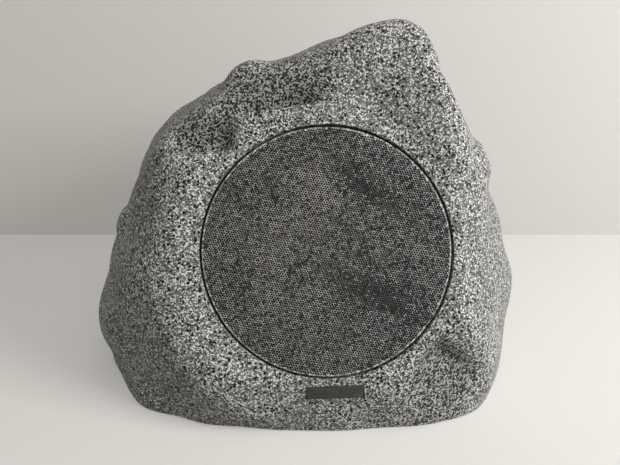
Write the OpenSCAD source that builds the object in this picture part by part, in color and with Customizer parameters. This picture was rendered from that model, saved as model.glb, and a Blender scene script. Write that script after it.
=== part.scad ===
// Rock-shaped garden speaker: a moulded stone-look shell on a screwed base plate, with a round
// perforated grille set flush in its leaning front face and a coaxial driver behind it.
// Front faces -Y, right is +X, up is +Z. The origin is on the ground under the middle of the rock.

/* [Rock] */
// Width of the rock, left to right
rock_w = 460; // [436:2:482]
// Depth of the rock, front to back
rock_d = 384; // [364:2:404]
// Height of the rock
rock_h = 348; // [336:2:362]
// Thickness of the moulded wall
wall = 4; // [3:0.5:6]
// Sharpness of the ridges between the rock's faces
ridge = 30; // [18:2:44]
// Triangles around the rock
rock_around = 84; // [60:6:96]
// Rows of triangles up the rock
rock_rows = 30; // [22:2:34]

/* [Front face] */
// Backward lean of the front face, degrees
face_tilt = 23; // [20:1:26]
// Sideways place of the grille's centre
face_x = 19; // [12:1:26]
// Height of the grille's centre
face_z = 160; // [156:1:166]
// Distance of the grille's centre behind the foremost point of the rock
face_back = 51; // [49:1:54]
// Diameter of the round recess for the grille
recess_d = 221.6; // [220.8:0.2:223]
// Depth of the recess, down to the ledge that carries the driver
recess_depth = 20; // [18:1:22]
// Thickness of the ledge
ledge_t = 4; // [3:0.5:6]

/* [Grille] */
// Gap around the grille in its recess
grille_gap = 2.3; // [1.6:0.1:3.2]
// Sheet thickness of the grille
grille_t = 0.8; // [0.6:0.1:1.2]
// Depth of the grille's folded rim
grille_rim_h = 7; // [5:0.5:9]
// Diameter of each modelled hole of the grille
grille_hole_d = 12; // [8:1:13]
// Spacing of the modelled holes
grille_pitch = 18.5; // [17.5:0.5:20]
// Thickness of the dust cloth
scrim_t = 0.4; // [0.3:0.1:0.6]
// Width of the ring that carries the grille
ring_w = 2.8; // [2.4:0.2:3.2]
// Clearance between the ring that carries the grille and the driver's flange
ring_gap = 1.2; // [0.8:0.2:1.6]

/* [Badge] */
// Width of the bare badge
badge_w = 50; // [40:1:56]
// Height of the bare badge
badge_h = 12.5; // [10:0.5:14]
// Thickness of the badge
badge_t = 1.6; // [1:0.2:2.4]
// Turn of the badge in its face, degrees
badge_turn = 3; // [0:1:6]
// Sideways place of the badge
badge_x = 27; // [20:1:34]
// Height of the badge's centre
badge_z = 46; // [44:1:48]
// Gap around the badge in its pocket
badge_gap = 0.5; // [0.3:0.1:0.8]

/* [Driver] */
// Width of the ledge that carries the basket's flange
flange_seat = 11; // [10:0.5:12]
// Thickness of the basket's flange
flange_t = 3.5; // [2.5:0.5:4]
// Depth of the basket below its flange
basket_depth = 56; // [52:1:60]
// Sheet thickness of the basket
basket_t = 1.5; // [1.2:0.1:2]
// Distance of the flange's screws inside its edge
screw_inset = 4.75; // [4.25:0.25:5.25]
// Number of screws in the flange
flange_screws = 8; // [4:2:8]
// Thickness of the gasket under the flange
gasket_t = 1.5; // [1:0.5:2]
// Diameter of the magnet
magnet_d = 100; // [90:2:108]
// Height of the magnet
magnet_h = 18; // [14:1:20]
// Thickness of the top plate and of the yoke's disc
pole_plate_t = 6; // [5:0.5:8]
// Diameter of the voice coil, inside
coil_d = 38; // [36:1:40]
// Height of the surround's roll
roll_h = 7; // [5:0.5:8]
// Diameter of the tweeter
tweeter_d = 34; // [30:1:38]
// Height of the tweeter's housing
tweeter_h = 16; // [13:1:18]

/* [Base] */
// Height of the rock's rim above the ground
rim_z = 1; // [0.8:0.2:1.4]
// Thickness of the rim around the base plate
rim_t = 5; // [4:0.5:7]
// Width of the inward flange above the base plate
flange_w = 16; // [15:1:18]
// Thickness of the inward flange
inner_flange_t = 4; // [3:0.5:5]
// Thickness of the base plate
base_t = 4; // [3:0.5:5]
// Thickness of the base gasket
base_gasket_t = 2; // [1.5:0.5:3]
// Clearance around the base plate
base_gap = 0.4; // [0.3:0.1:0.8]
// Number of base screws
base_screw_count = 8; // [6:2:10]
// Diameter of a foot
foot_d = 28; // [24:1:32]
// Thickness of a foot
foot_t = 4; // [3.5:0.5:5]
// Distance of each foot's centre inside the rock's rim
foot_inset = 50; // [44:2:60]
// Bearing of the front feet from the front, degrees
front_foot_turn = 52; // [46:1:58]
// Bearing of the rear feet from the front, degrees
rear_foot_turn = 132; // [128:1:138]

/* [Crossover] */
// Length of the circuit board
board_l = 110; // [105:1:120]
// Width of the circuit board
board_w = 66; // [64:1:74]
// Thickness of the circuit board
board_t = 1.6; // [1.2:0.2:2]
// Height of the pillars under the board
pillar_h = 12; // [10:1:14]
// Diameter of the capacitor
cap_d = 16; // [14:1:18]
// Length of the capacitor
cap_l = 32; // [28:1:34]
// Diameter of the inductor's bobbin
bobbin_d = 34; // [30:1:36]
// Height of the inductor's bobbin
bobbin_h = 18; // [14:1:20]
// Outer diameter of each pair of leads
lead_d = 3.2; // [2.6:0.2:3.6]

/* [Cable gland] */
// Diameter of the gland's threaded stem
gland_d = 12; // [11:0.5:13]
// Diameter of the cable's way through the gland
gland_bore_d = 7.2; // [6:0.2:7.6]
// Width across the corners of the gland's hexagons
gland_hex_d = 20; // [18:1:22]
// Diameter of the flat recess around the gland
gland_recess_d = 44; // [40:1:48]
// Depth of the gland's flat below the rearmost point of the rock
gland_back = 24; // [22:1:26]
// Sideways place of the gland
gland_x = -70; // [-80:5:-60]
// Height of the gland
gland_z = 60; // [55:1:66]

/* [Screws] */
// Diameter of the screws
screw_d = 4; // [3.5:0.1:4.4]
// Diameter of the screw heads
screw_head_d = 7.6; // [7:0.2:8]
// Height of the screw heads
screw_head_h = 2.4; // [2:0.2:2.6]
// Clearance around a screw in a pilot hole, on the radius
pilot_gap = 0.1; // [0.05:0.05:0.2]
// Clearance around a screw in a through hole, on the radius
screw_gap = 0.3; // [0.2:0.1:0.5]
// Thickness of the wall around a screw's pilot hole
boss_wall = 2.6; // [2:0.2:3]

/* [Hidden] */
$fn = 96;
eps = 0.5;

// The rock's faces are laid out for this width, depth and height, and are scaled to the size above.
form_size = [460, 384, 348];
// The point inside the rock that its faces are measured from
form_core = [0.7, -1.8, 120];
// Each face of the rock: bearing from the front towards the right, lean upwards, distance from the core
rock_faces = [
    [0, 23, 148], [2, -1, 190], [-30, 18, 192], [32, 18, 194], [-52, 18, 202], [54, 14, 206],
    [-34, -6, 218], [-6, -28, 222], [78, 38, 215], [76, 22, 206], [72, 2, 230], [52, -8, 244],
    [36, -26, 256], [104, 0, 220], [-80, 48, 188], [-76, 24, 196], [-74, 4, 224], [-58, -8, 248],
    [-40, -24, 262], [-104, 0, 220], [-95, 67, 189], [-110, 80, 200], [150, 62, 205], [-150, 58, 198],
    [100, 62, 236], [178, 8, 184], [182, 34, 192], [138, 6, 206], [-142, 5, 204], [180, -22, 208],
    [136, -20, 230], [-138, -20, 228]];
// Each swelling or hollow: bearing, lean upwards, half-width, half-height above and below its middle,
// anticlockwise turn (all in degrees), crispness of its edge, height
rock_bumps = [
    [57, 66, 9, 12, 10, 0, 2, 12], [63, 54, 6, 6, 5, 0, 2, 6], [71, 30, 6, 5, 6, 0, 2, 7],
    [75, -8, 8, 7, 8, 0, 2, 6], [73, 44, 4, 5, 5, 0, 2, -4], [70, 13, 7, 8, 6, 0, 2, -5],
    [-70, -14, 11, 7, 8, 0, 2, 11], [-46, -32, 9, 8, 8, 0, 2, 12], [-64, -24, 8, 6, 7, 0, 2, -5],
    [-68, 13, 5, 5, 5, 0, 2, 3], [48, -30, 8, 7, 8, 0, 2, 7], [34, -31, 8, 7, 8, 0, 2, -4],
    [-20, 61, 14, 8, 5, 12, 3, -12], [-42, 46, 9, 6, 5, 20, 3, -9], [-62, 47, 8, 8, 8, 0, 2, 3],
    [-52, 67, 6, 6, 6, 0, 2, 7], [42, -17, 10, 5, 8, -38, 3, -9], [42, -7, 7, 4, 4, -30, 2, 3],
    [40, 52, 5, 12, 12, 0, 2, -5], [52, 44, 5, 13, 13, 0, 2, 4], [150, 30, 14, 14, 14, 0, 2, -7],
    [-160, 20, 12, 12, 12, 0, 2, -6], [-120, 35, 12, 12, 12, 0, 2, 6], [125, -5, 12, 12, 12, 0, 2, 6],
    [175, 55, 12, 12, 12, 0, 2, 5]];
// Each gentle wave of the surface: degrees per millimetre along X, Y and Z, phase, height
rock_waves = [[2.6, 1.4, 2.1, 40, 1.5], [-3.1, 3.6, 2.4, 110, 1.2], [5.2, -4.1, 5.8, 200, 0.6]];

// Depth of the badge's seat behind the foremost point of the rock
badge_depth = 6;
// How far a cut runs on past the rock's surface
cut_run = 30;

// The front face is flat this far beyond the recess, and blends into the rock over the next stretch
face_margin = 3.2;
face_blend = 20;
face_normal = [0, -cos(face_tilt), sin(face_tilt)];
face_centre = [face_x, face_back - rock_d / 2, face_z];
rock_hub = sized(form_core);
face_reach = (face_centre - rock_hub) * face_normal;
least_lean = 0.25;

face_dirs = [for (f = rock_faces) toward(f[0], f[1])];
bump_frames = [for (b = rock_bumps) frame_at(b[0], b[1])];

function toward(bearing, lean) =
    [sin(bearing) * cos(lean), -cos(bearing) * cos(lean), sin(lean)];
function frame_at(bearing, lean) =
    let (out = toward(bearing, lean), side = toward(bearing + 90, 0)) [out, side, cross(out, side)];
function total(list) = list * [for (x = list) 1];
function sized(p) = [for (i = [0:2]) p[i] * [rock_w, rock_d, rock_h][i] / form_size[i]];
function smooth_step(t) = let (u = max(0, min(1, t))) u * u * (3 - 2 * u);
function face_pull(d, inset) =
    total([for (i = [0:len(rock_faces) - 1])
        pow(max(0, d * face_dirs[i]) / (rock_faces[i][2] - inset), ridge)]);
function bump_rise(d) =
    total([for (i = [0:len(rock_bumps) - 1])
        let (b = rock_bumps[i], p = bump_frames[i] * d, side = atan2(p[1], p[0]), up = atan2(p[2], p[0]),
            u = side * cos(b[5]) + up * sin(b[5]), v = up * cos(b[5]) - side * sin(b[5]))
        b[7] * exp(-pow(min(6, norm([u / b[2], v / (v > 0 ? b[3] : b[4])])), b[6]))]);
function wave_rise(p) =
    total([for (w = rock_waves) w[4] * sin(w[0] * p[0] + w[1] * p[1] + w[2] * p[2] + w[3])]);
function rough_point(d, inset) =
    let (r = pow(face_pull(d, inset), -1 / ridge) + bump_rise(d))
    form_core + d * (r + wave_rise(form_core + d * r));
// The part of a point's ray that lies on the flat front face, near the grille
function faced(p, inset) =
    let (q = p - rock_hub, r = norm(q), d = q / r, lean = max(d * face_normal, least_lean),
        off = norm(rock_hub + d * face_reach / lean - face_centre),
        share = lean > least_lean ? 1 - smooth_step((off - recess_d / 2 - face_margin) / face_blend) : 0)
    rock_hub + d * (r + ((face_reach - inset) / lean - r) * share);
function rock_point(bearing, lean, inset = 0) =
    faced(sized(rough_point(toward(bearing, lean), inset)), inset);
// The lean at which the surface crosses a level plane below the hub, found by halving
function lean_at(bearing, z, inset, low = -80, high = 0, steps = 16) =
    let (mid = (low + high) / 2)
    steps == 0 ? mid
    : rock_point(bearing, mid, inset)[2] < z ? lean_at(bearing, z, inset, mid, high, steps - 1)
    : lean_at(bearing, z, inset, low, mid, steps - 1);
// A point of the rock's outline at the rim, moved inwards
function rim_point(bearing, inset) =
    let (p = rock_point(bearing, lean_at(bearing, rim_z, 0)), r = norm([p[0], p[1]]))
    [p[0], p[1]] * (1 - inset / r);
function rim_outline(inset) =
    [for (i = [0:rock_around - 1]) rim_point(i * 360 / rock_around, inset)];
function foot_at(side_x, side_y) =
    rim_point(side_x * (side_y < 0 ? front_foot_turn : rear_foot_turn), foot_inset);

// Levels of the base, upwards
plate_z = foot_t;
gasket_z = plate_z + base_t;
inner_flange_z = gasket_z + base_gasket_t;
cavity_z = inner_flange_z + inner_flange_t;
base_boss_h = 12;
base_screw_inset = rim_t + flange_w / 2;
base_boss_top = cavity_z + base_boss_h;
base_screw_grip = 8;

// Levels behind the front face, along its axis: 0 is the grille's front
ledge_z = -recess_depth;
flange_z = ledge_z + gasket_t + flange_t;
mesh_back = -grille_t;
scrim_back = mesh_back - scrim_t;
mesh_gap = 0.2;
grille_d = recess_d - 2 * grille_gap;
grille_inner_r = grille_d / 2 - grille_t;
ring_r = grille_inner_r - mesh_gap;
ring_inner_r = ring_r - ring_w;
flange_d = 2 * (ring_inner_r - ring_gap);
driver_hole_d = flange_d - 2 * flange_seat;
screw_circle_d = flange_d - 2 * screw_inset;
surround_inset = 9;
surround_w = 14.5;
roll_out_r = flange_d / 2 - surround_inset;
cone_outer_r = roll_out_r - surround_w;
lip_gap = 0.3;
ledge_ring_r = recess_d / 2 + 6;
driver_boss_h = 12;
driver_screw_grip = 10;
screw_r = screw_d / 2;

// Parts of the driver
basket_floor_r = magnet_d / 2 - 3;
basket_mouth_r = driver_hole_d / 2 - 1;
basket_floor = flange_z - flange_t - basket_depth;
spider_r = 56;
spider_drop = 36;
spider_z = flange_z - spider_drop;
basket_step_r = spider_r - 3;
basket_windows = 6;
tag_strip = [5, 16, 2];
tag_r = basket_step_r + basket_t + 0.3 + tag_strip[0] / 2;
tag_z = spider_z - basket_t - tag_strip[2];
tag_drop = 8;
tag_spread = 4;
window_angle = 36;
coil_r = coil_d / 2;
former_t = 0.5;
winding_t = 1;
winding_h = 14;
pole_gap = 0.6;
pole_r = coil_r - pole_gap;
plate_bore_r = coil_r + former_t + winding_t + pole_gap;
plate_top = basket_floor - basket_t;
magnet_top = plate_top - pole_plate_t;
yoke_top = magnet_top - magnet_h;
former_low = (plate_top + magnet_top - winding_h) / 2;
cone_t = 1;
cone_low = spider_z + 4.5;
former_top = cone_low + 2 * cone_t;
roll_t = 1;
post_r = 5;
wire_hole_r = 2;
tweeter_r = tweeter_d / 2;
tweeter_top = flange_z - 6;
tweeter_low = tweeter_top - tweeter_h;
dome_r = 12.5;
cap_wall = 1.2;

// Places in the base
board_at = [-78, 66];
board_z = gasket_z + pillar_h;
board_top = board_z + board_t;
pillar_r = 4.5;
board_hole_edge = 6;
block_ways = 4;
block_pitch = 9;
block_size = [block_ways * block_pitch, 10, 13];
block_at = board_at + [24, -24];
block_hole_z = 5;
block_hole_depth = 6;
board_screw_r = 1.5;
board_screw_head_r = 2.8;
rib_t = 3;
rib_h = 8;
// Places of the base plate's ribs, as shares of the rock's depth and width
long_ribs = [-0.18, 0];
cross_ribs = [0.09, 0.24];
socket_wall = 2;
socket_gap = 0.3;
foot_stem_r = 3;

// Levels of the cable gland, along +Y from the flat in its recess
gland_y = rock_d / 2 - gland_back;
gland_wall = 5;
gland_washer_t = 1.5;
gland_flange_t = 5;
gland_stem_out = 7;
gland_stem_in = 11;
gland_lock_t = 4;
gland_seal_l = 5;
gland_cap_t = 2;
gland_gap = 0.15;
gland_r = gland_d / 2;

// Routes of the leads inside the rock, from the driver to the terminal block
lead_gap = 0.3;
function face_point(x, y, z) = face_centre + [x, y * sin(face_tilt) - z * cos(face_tilt),
    y * cos(face_tilt) + z * sin(face_tilt)];
function block_entry(way, depth) = [block_at[0] + (way - (block_ways - 1) / 2) * block_pitch,
    block_at[1] - block_size[1] / 2 + depth, board_top + block_hole_z];
woofer_lead_route = concat([face_point(-tag_r, 0, tag_z - tag_drop - lead_gap - lead_d / 2),
    face_point(-tag_r - 1, -4, tag_z - tag_drop - 8)], [[-52, -58, 112], [-60, -36, 92], [-66, -14, 68],
    [-68, 4, 48]], [block_entry(0, -18), block_entry(0, -8), block_entry(0, block_hole_depth - lead_gap)]);
tweeter_lead_route = concat([face_point(0, 0, yoke_top - pole_plate_t - lead_gap),
    face_point(0, 0, yoke_top - pole_plate_t - 8)], [[14, -16, 100], [0, -8, 84], [-22, 0, 66],
    [-40, 8, 48]], [block_entry(2, -18), block_entry(2, -8), block_entry(2, block_hole_depth - lead_gap)]);
lead_sides = 8;
lead_steps = 3;

// Geometry shared by several pieces

// A closed rock form above a level plane: rows of points around the hub, and one on top
module rock_form(level, inset, around, rows) {
    leans = [for (i = [0:around - 1]) lean_at(i * 360 / around, level, inset)];
    sides = [for (k = [0:rows - 1], i = [0:around - 1])
        let (p = rock_point(i * 360 / around, leans[i] + (90 - leans[i]) * k / rows, inset))
        k == 0 ? [p[0], p[1], level] : p];
    tip = len(sides);
    faces = concat(
        [[for (i = [0:around - 1]) i]],
        [for (k = [0:rows - 2], i = [0:around - 1])
            [k * around + i, (k + 1) * around + i, (k + 1) * around + (i + 1) % around]],
        [for (k = [0:rows - 2], i = [0:around - 1])
            [k * around + i, (k + 1) * around + (i + 1) % around, k * around + (i + 1) % around]],
        [for (i = [0:around - 1]) [(rows - 1) * around + i, tip, (rows - 1) * around + (i + 1) % around]]);
    polyhedron(concat(sides, [rock_point(0, 90, inset)]), faces, convexity = 8);
}

// Moves children to the front face: their +Z points out of it, and +Y up along it
module on_face() {
    translate(face_centre) rotate([90 - face_tilt, 0, 0]) children();
}

// Moves children to the gland: their +Z points out of the rock, to the rear
module at_gland() {
    translate([gland_x, gland_y, gland_z]) rotate([-90, 0, 0]) children();
}

// A ring or disc between two levels
module ring(outer_r, inner_r, low, high) {
    translate([0, 0, low]) difference() {
        cylinder(h = high - low, r = outer_r);
        translate([0, 0, -eps]) cylinder(h = high - low + 2 * eps, r = inner_r);
    }
}

// A pan-head screw pointing down, with the underside of its head at 0
module pan_screw(length, r = screw_r, head_r = screw_head_d / 2, head_h = screw_head_h) {
    slot_w = head_r / 3;
    difference() {
        rotate_extrude($fn = 32) polygon([[0, -length], [r * 0.4, -length], [r, -length + r], [r, 0],
            [head_r, 0], [head_r, head_h * 0.5], [head_r * 0.7, head_h], [0, head_h]]);
        for (turn = [0, 90]) rotate([0, 0, turn]) translate([-head_r * 0.6, -slot_w / 2, head_h * 0.4])
            cube([head_r * 1.2, slot_w, head_h]);
    }
}

// Places children on the driver's screw circle
module on_screw_circle() {
    for (i = [0:flange_screws - 1])
        rotate([0, 0, (i + 0.5) * 360 / flange_screws]) translate([screw_circle_d / 2, 0, 0]) children();
}

// Places children at the base screws, on the rim's outline moved inwards
module at_base_screws() {
    for (i = [0:base_screw_count - 1]) {
        p = rim_point((i + 0.5) * 360 / base_screw_count, base_screw_inset);
        translate([p[0], p[1], 0]) children();
    }
}

// Places children at the four feet
module at_feet() {
    for (x = [-1, 1], y = [-1, 1]) translate(foot_at(x, y)) children();
}

// Places children at the four corners of the circuit board
module at_board_corners() {
    for (x = [-1, 1], y = [-1, 1])
        translate([board_at[0] + x * (board_l / 2 - board_hole_edge),
            board_at[1] + y * (board_w / 2 - board_hole_edge), 0]) children();
}

// A round tube swept along a smooth curve through the route's points
module swept_tube(route, d) {
    count = len(route);
    function at(i) = route[max(0, min(count - 1, i))];
    function curve(i, t) = let (a = at(i - 1), b = at(i), c = at(i + 1), e = at(i + 2))
        0.5 * (2 * b + (c - a) * t + (2 * a - 5 * b + 4 * c - e) * t * t
            + (3 * b - a - 3 * c + e) * t * t * t);
    path = concat([for (i = [0:count - 2], s = [0:lead_steps - 1]) curve(i, s / lead_steps)],
        [route[count - 1]]);
    last = len(path) - 1;
    function heading(k) = let (v = path[min(last, k + 1)] - path[max(0, k - 1)]) v / norm(v);
    rings = [for (k = [0:last])
        let (t = heading(k), u = cross(t, [1, 0.2, 0]) / norm(cross(t, [1, 0.2, 0])), w = cross(t, u))
        for (j = [0:lead_sides - 1])
            path[k] + d / 2 * (u * cos(j * 360 / lead_sides) + w * sin(j * 360 / lead_sides))];
    polyhedron(rings, concat(
        [[for (j = [0:lead_sides - 1]) j]],
        [[for (j = [lead_sides - 1:-1:0]) last * lead_sides + j]],
        [for (k = [0:last - 1], j = [0:lead_sides - 1])
            [k * lead_sides + j, (k + 1) * lead_sides + j,
                (k + 1) * lead_sides + (j + 1) % lead_sides, k * lead_sides + (j + 1) % lead_sides]]));
}

// The rock and its badge

module rock_shell() {
    color("#8a8a87") difference() {
        rock_form(rim_z, 0, rock_around, rock_rows);
        difference() {
            rock_form(cavity_z, wall, rock_around - 24, 14);
            on_face() {
                translate([0, 0, ledge_z - ledge_t]) cylinder(h = recess_depth + ledge_t, r = ledge_ring_r);
                on_screw_circle() translate([0, 0, ledge_z - driver_boss_h])
                    cylinder(h = driver_boss_h, r = screw_r + pilot_gap + boss_wall, $fn = 32);
            }
            at_gland() translate([0, 0, -gland_wall])
                cylinder(h = gland_wall + gland_back, d = gland_recess_d + 2 * wall);
            at_base_screws() cylinder(h = base_boss_top, r = screw_r + pilot_gap + boss_wall, $fn = 32);
        }
        translate([0, 0, -eps]) linear_extrude(cavity_z + 2 * eps) polygon(rim_outline(rim_t + flange_w));
        translate([0, 0, -eps]) linear_extrude(inner_flange_z + eps) polygon(rim_outline(rim_t));
        at_base_screws()
            cylinder(h = inner_flange_z + base_screw_grip + 2, r = screw_r + pilot_gap, $fn = 32);
        on_face() {
            translate([0, 0, ledge_z]) cylinder(h = recess_depth + cut_run, d = recess_d);
            translate([0, 0, ledge_z - ledge_t - eps])
                cylinder(h = ledge_t + 2 * eps, d = driver_hole_d);
            on_screw_circle() translate([0, 0, ledge_z - driver_screw_grip - 1])
                cylinder(h = driver_screw_grip + 1 + eps, r = screw_r + pilot_gap, $fn = 32);
        }
        at_gland() {
            cylinder(h = gland_back + cut_run, d = gland_recess_d);
            translate([0, 0, -gland_wall - eps])
                cylinder(h = gland_wall + 2 * eps, r = gland_r + gland_gap);
        }
        at_badge() translate([-badge_w / 2 - badge_gap, -badge_h / 2 - badge_gap, 0])
            cube([badge_w + 2 * badge_gap, badge_h + 2 * badge_gap, badge_depth + cut_run]);
    }
}

// Moves children to the badge's pocket: their +Z points out of the front, and +Y upwards
module at_badge() {
    translate([badge_x, badge_depth - rock_d / 2, badge_z]) rotate([90, 0, 0]) rotate([0, 0, badge_turn])
        children();
}
module badge_plate() {
    corner = 1;
    color("#4a4946") at_badge() linear_extrude(badge_t) hull()
        for (x = [-1, 1], y = [-1, 1])
            translate([x * (badge_w / 2 - corner), y * (badge_h / 2 - corner)])
                circle(r = corner, $fn = 24);
}

// The grille

module grille_mesh() {
    rows = floor(grille_inner_r / (grille_pitch * sqrt(3) / 2));
    reach = grille_inner_r - grille_hole_d / 2 - 1.5;
    color("#515150") on_face() difference() {
        rotate_extrude() polygon([[0, 0], [grille_d / 2 - 1, 0], [grille_d / 2 - 0.3, -0.3],
            [grille_d / 2, -1], [grille_d / 2, -grille_rim_h], [grille_inner_r, -grille_rim_h],
            [grille_inner_r, mesh_back], [0, mesh_back]]);
        for (row = [-rows:rows], column = [-rows - 1:rows + 1]) {
            x = (column + (row % 2 == 0 ? 0 : 0.5)) * grille_pitch;
            y = row * grille_pitch * sqrt(3) / 2;
            if (norm([x, y]) <= reach)
                translate([x, y, mesh_back - eps])
                    cylinder(h = grille_t + 2 * eps, d = grille_hole_d, $fn = 24);
        }
    }
}

module grille_scrim() {
    color("#151515") on_face() translate([0, 0, scrim_back]) cylinder(h = scrim_t, r = ring_r);
}

module grille_ring() {
    lip_r = recess_d / 2 - lip_gap;
    lip_top = -grille_rim_h - lip_gap;
    color("#1c1c1c") on_face() rotate_extrude() polygon([[ring_inner_r, scrim_back],
        [ring_r, scrim_back], [ring_r, lip_top], [lip_r, lip_top], [lip_r, lip_top - 3],
        [ring_r, lip_top - 3], [ring_r, ledge_z], [ring_inner_r, ledge_z]]);
}

// The woofer

module woofer_gasket() {
    color("#202020") on_face() difference() {
        ring(flange_d / 2, driver_hole_d / 2, ledge_z, ledge_z + gasket_t);
        on_screw_circle() translate([0, 0, ledge_z - eps])
            cylinder(h = gasket_t + 2 * eps, r = screw_r + screw_gap, $fn = 32);
    }
}

module woofer_basket() {
    window_out = basket_mouth_r + 14;
    step_out = spider_r + 3;
    wall_out = roll_out_r - 7.5;
    color("#2b2b2c") on_face() difference() {
        rotate_extrude() polygon([
            [flange_d / 2, flange_z], [wall_out, flange_z], [step_out, spider_z], [basket_step_r, spider_z],
            [basket_floor_r, basket_floor], [plate_bore_r + 2, basket_floor],
            [plate_bore_r + 2, basket_floor - basket_t],
            [basket_floor_r + basket_t, basket_floor - basket_t],
            [basket_step_r + basket_t, spider_z - basket_t], [step_out + basket_t, spider_z - basket_t],
            [wall_out + basket_t, flange_z - flange_t], [flange_d / 2, flange_z - flange_t]]);
        for (i = [0:basket_windows - 1]) rotate([0, 0, (i + 0.5) * 360 / basket_windows - window_angle / 2])
            rotate_extrude(angle = window_angle) polygon([[step_out + 4, spider_z + 2],
                [window_out, spider_z + 2], [window_out, flange_z - flange_t - 5],
                [step_out + 4, flange_z - flange_t - 5]]);
        on_screw_circle() translate([0, 0, flange_z - flange_t - eps])
            cylinder(h = flange_t + 2 * eps, r = screw_r + screw_gap, $fn = 32);
    }
}

module woofer_screws() {
    color("#b9b9b6") on_face() on_screw_circle() translate([0, 0, flange_z])
        pan_screw(flange_t + gasket_t + driver_screw_grip);
}

module woofer_surround() {
    roll_mid = (cone_outer_r + roll_out_r - 4) / 2;
    roll_r = (roll_out_r - 4 - cone_outer_r) / 2;
    arc = [for (a = [0:15:180]) a];
    low = flange_z;
    color("#1a1a1a") on_face() rotate_extrude() polygon(concat(
        [[cone_outer_r - 5, low], [cone_outer_r - 5, low + roll_t]],
        [for (a = arc) [roll_mid - roll_r * cos(a), low + roll_t + (roll_h - roll_t) * sin(a)]],
        [[roll_out_r, low + roll_t], [roll_out_r, low]],
        [for (a = arc) [roll_mid + (roll_r - roll_t) * cos(a), low + (roll_h - roll_t) * sin(a)]]));
}

module woofer_cone() {
    neck_r = coil_r + former_t;
    bend_r = neck_r + 24;
    bend_z = cone_low + (flange_z - cone_low) * 0.5;
    rim_in = cone_outer_r - 6;
    color("#34383a") on_face() rotate_extrude() polygon([[neck_r, cone_low],
        [neck_r, cone_low + 2 * cone_t], [bend_r, bend_z + cone_t], [rim_in, flange_z],
        [cone_outer_r - 1, flange_z], [cone_outer_r - 1, flange_z - cone_t],
        [rim_in + 1, flange_z - cone_t], [bend_r + 1, bend_z], [neck_r + 1.5, cone_low]]);
}

module woofer_spider() {
    inner_r = coil_r + former_t;
    folds = 5;
    crest = 1.6;
    thick = 0.7;
    flat_r = spider_r - 2.5;
    steps = [for (k = [0:2 * folds]) inner_r + 2 + (flat_r - inner_r - 2) * k / (2 * folds)];
    color("#c08a3c") on_face() rotate_extrude() polygon(concat(
        [[inner_r, spider_z]],
        [for (k = [0:2 * folds]) [steps[k], spider_z + (k % 2 == 1 ? crest : 0)]],
        [[spider_r, spider_z], [spider_r, spider_z + thick]],
        [for (k = [2 * folds:-1:0]) [steps[k], spider_z + thick + (k % 2 == 1 ? crest : 0)]],
        [[inner_r, spider_z + thick]]));
}

module coil_former() {
    color("#c9b27a") on_face() ring(coil_r + former_t, coil_r, former_low, former_top);
}

module coil_winding() {
    color("#b06a32") on_face()
        ring(coil_r + former_t + winding_t, coil_r + former_t, former_low, former_low + winding_h);
}

module top_plate() {
    color("#8d9092") on_face() ring(magnet_d / 2 - 3, plate_bore_r, magnet_top, plate_top);
}

module ferrite_magnet() {
    color("#3a3a3c") on_face() ring(magnet_d / 2, plate_bore_r + 4, yoke_top, magnet_top);
}

module pole_yoke() {
    color("#8d9092") on_face() difference() {
        rotate_extrude() polygon([[0, yoke_top - pole_plate_t],
            [magnet_d / 2 - 4, yoke_top - pole_plate_t], [magnet_d / 2 - 3, yoke_top - pole_plate_t + 1],
            [magnet_d / 2 - 3, yoke_top], [pole_r, yoke_top], [pole_r, plate_top - 1],
            [pole_r - 1, plate_top], [0, plate_top]]);
        translate([0, 0, yoke_top - pole_plate_t - eps])
            cylinder(h = magnet_h + 2 * pole_plate_t + 2 * eps, r = wire_hole_r + 1);
    }
}

// The tag strip on the basket that takes the woofer's leads
module basket_terminals() {
    tab = [0.8, 3];
    color("#7a5c2e") on_face() translate([-tag_r, 0, tag_z]) {
        translate([-tag_strip[0] / 2, -tag_strip[1] / 2, 0]) cube(tag_strip);
        for (y = [-tag_spread, tag_spread]) translate([-tab[0] / 2, y - tab[1] / 2, -tag_drop])
            cube([tab[0], tab[1], tag_drop + eps]);
    }
}

// The tweeter, on a post through the woofer's middle

module tweeter_post() {
    color("#6e7072") on_face() ring(post_r, wire_hole_r, plate_top, tweeter_low);
}

module tweeter_housing() {
    color("#1e1e1f") on_face() difference() {
        rotate_extrude() polygon([[0, tweeter_low], [tweeter_r - 4, tweeter_low],
            [tweeter_r, tweeter_low + 4], [tweeter_r, tweeter_top], [dome_r + 1, tweeter_top - 2],
            [dome_r + 1, tweeter_top - 5], [0, tweeter_top - 5]]);
        translate([0, 0, tweeter_low - eps]) cylinder(h = tweeter_h, r = wire_hole_r);
    }
}

module tweeter_dome() {
    rise = 4;
    skin = 0.6;
    arc = [for (a = [0:10:90]) a];
    color("#c7c9cb") on_face() translate([0, 0, tweeter_top - 5]) rotate_extrude() polygon(concat(
        [[dome_r, 0], [dome_r, skin]],
        [for (a = arc) [(dome_r - 1.5) * cos(a), skin + rise * sin(a)]],
        [for (a = [90:-10:0]) [(dome_r - 1.5 - skin) * cos(a), rise * sin(a)]]));
}

// The guard over the dome: a rim with a three-armed bridge
module tweeter_cap() {
    bar_w = 2.4;
    hub_r = 3.5;
    guard_z = tweeter_top;
    color("#1e1e1f") on_face() translate([0, 0, guard_z]) {
        ring(tweeter_r, dome_r + 1, 0, cap_wall);
        cylinder(h = cap_wall, r = hub_r);
        for (turn = [90, 210, 330]) rotate([0, 0, turn]) translate([0, -bar_w / 2, 0])
            cube([dome_r + 2, bar_w, cap_wall]);
    }
}

// The base

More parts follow.
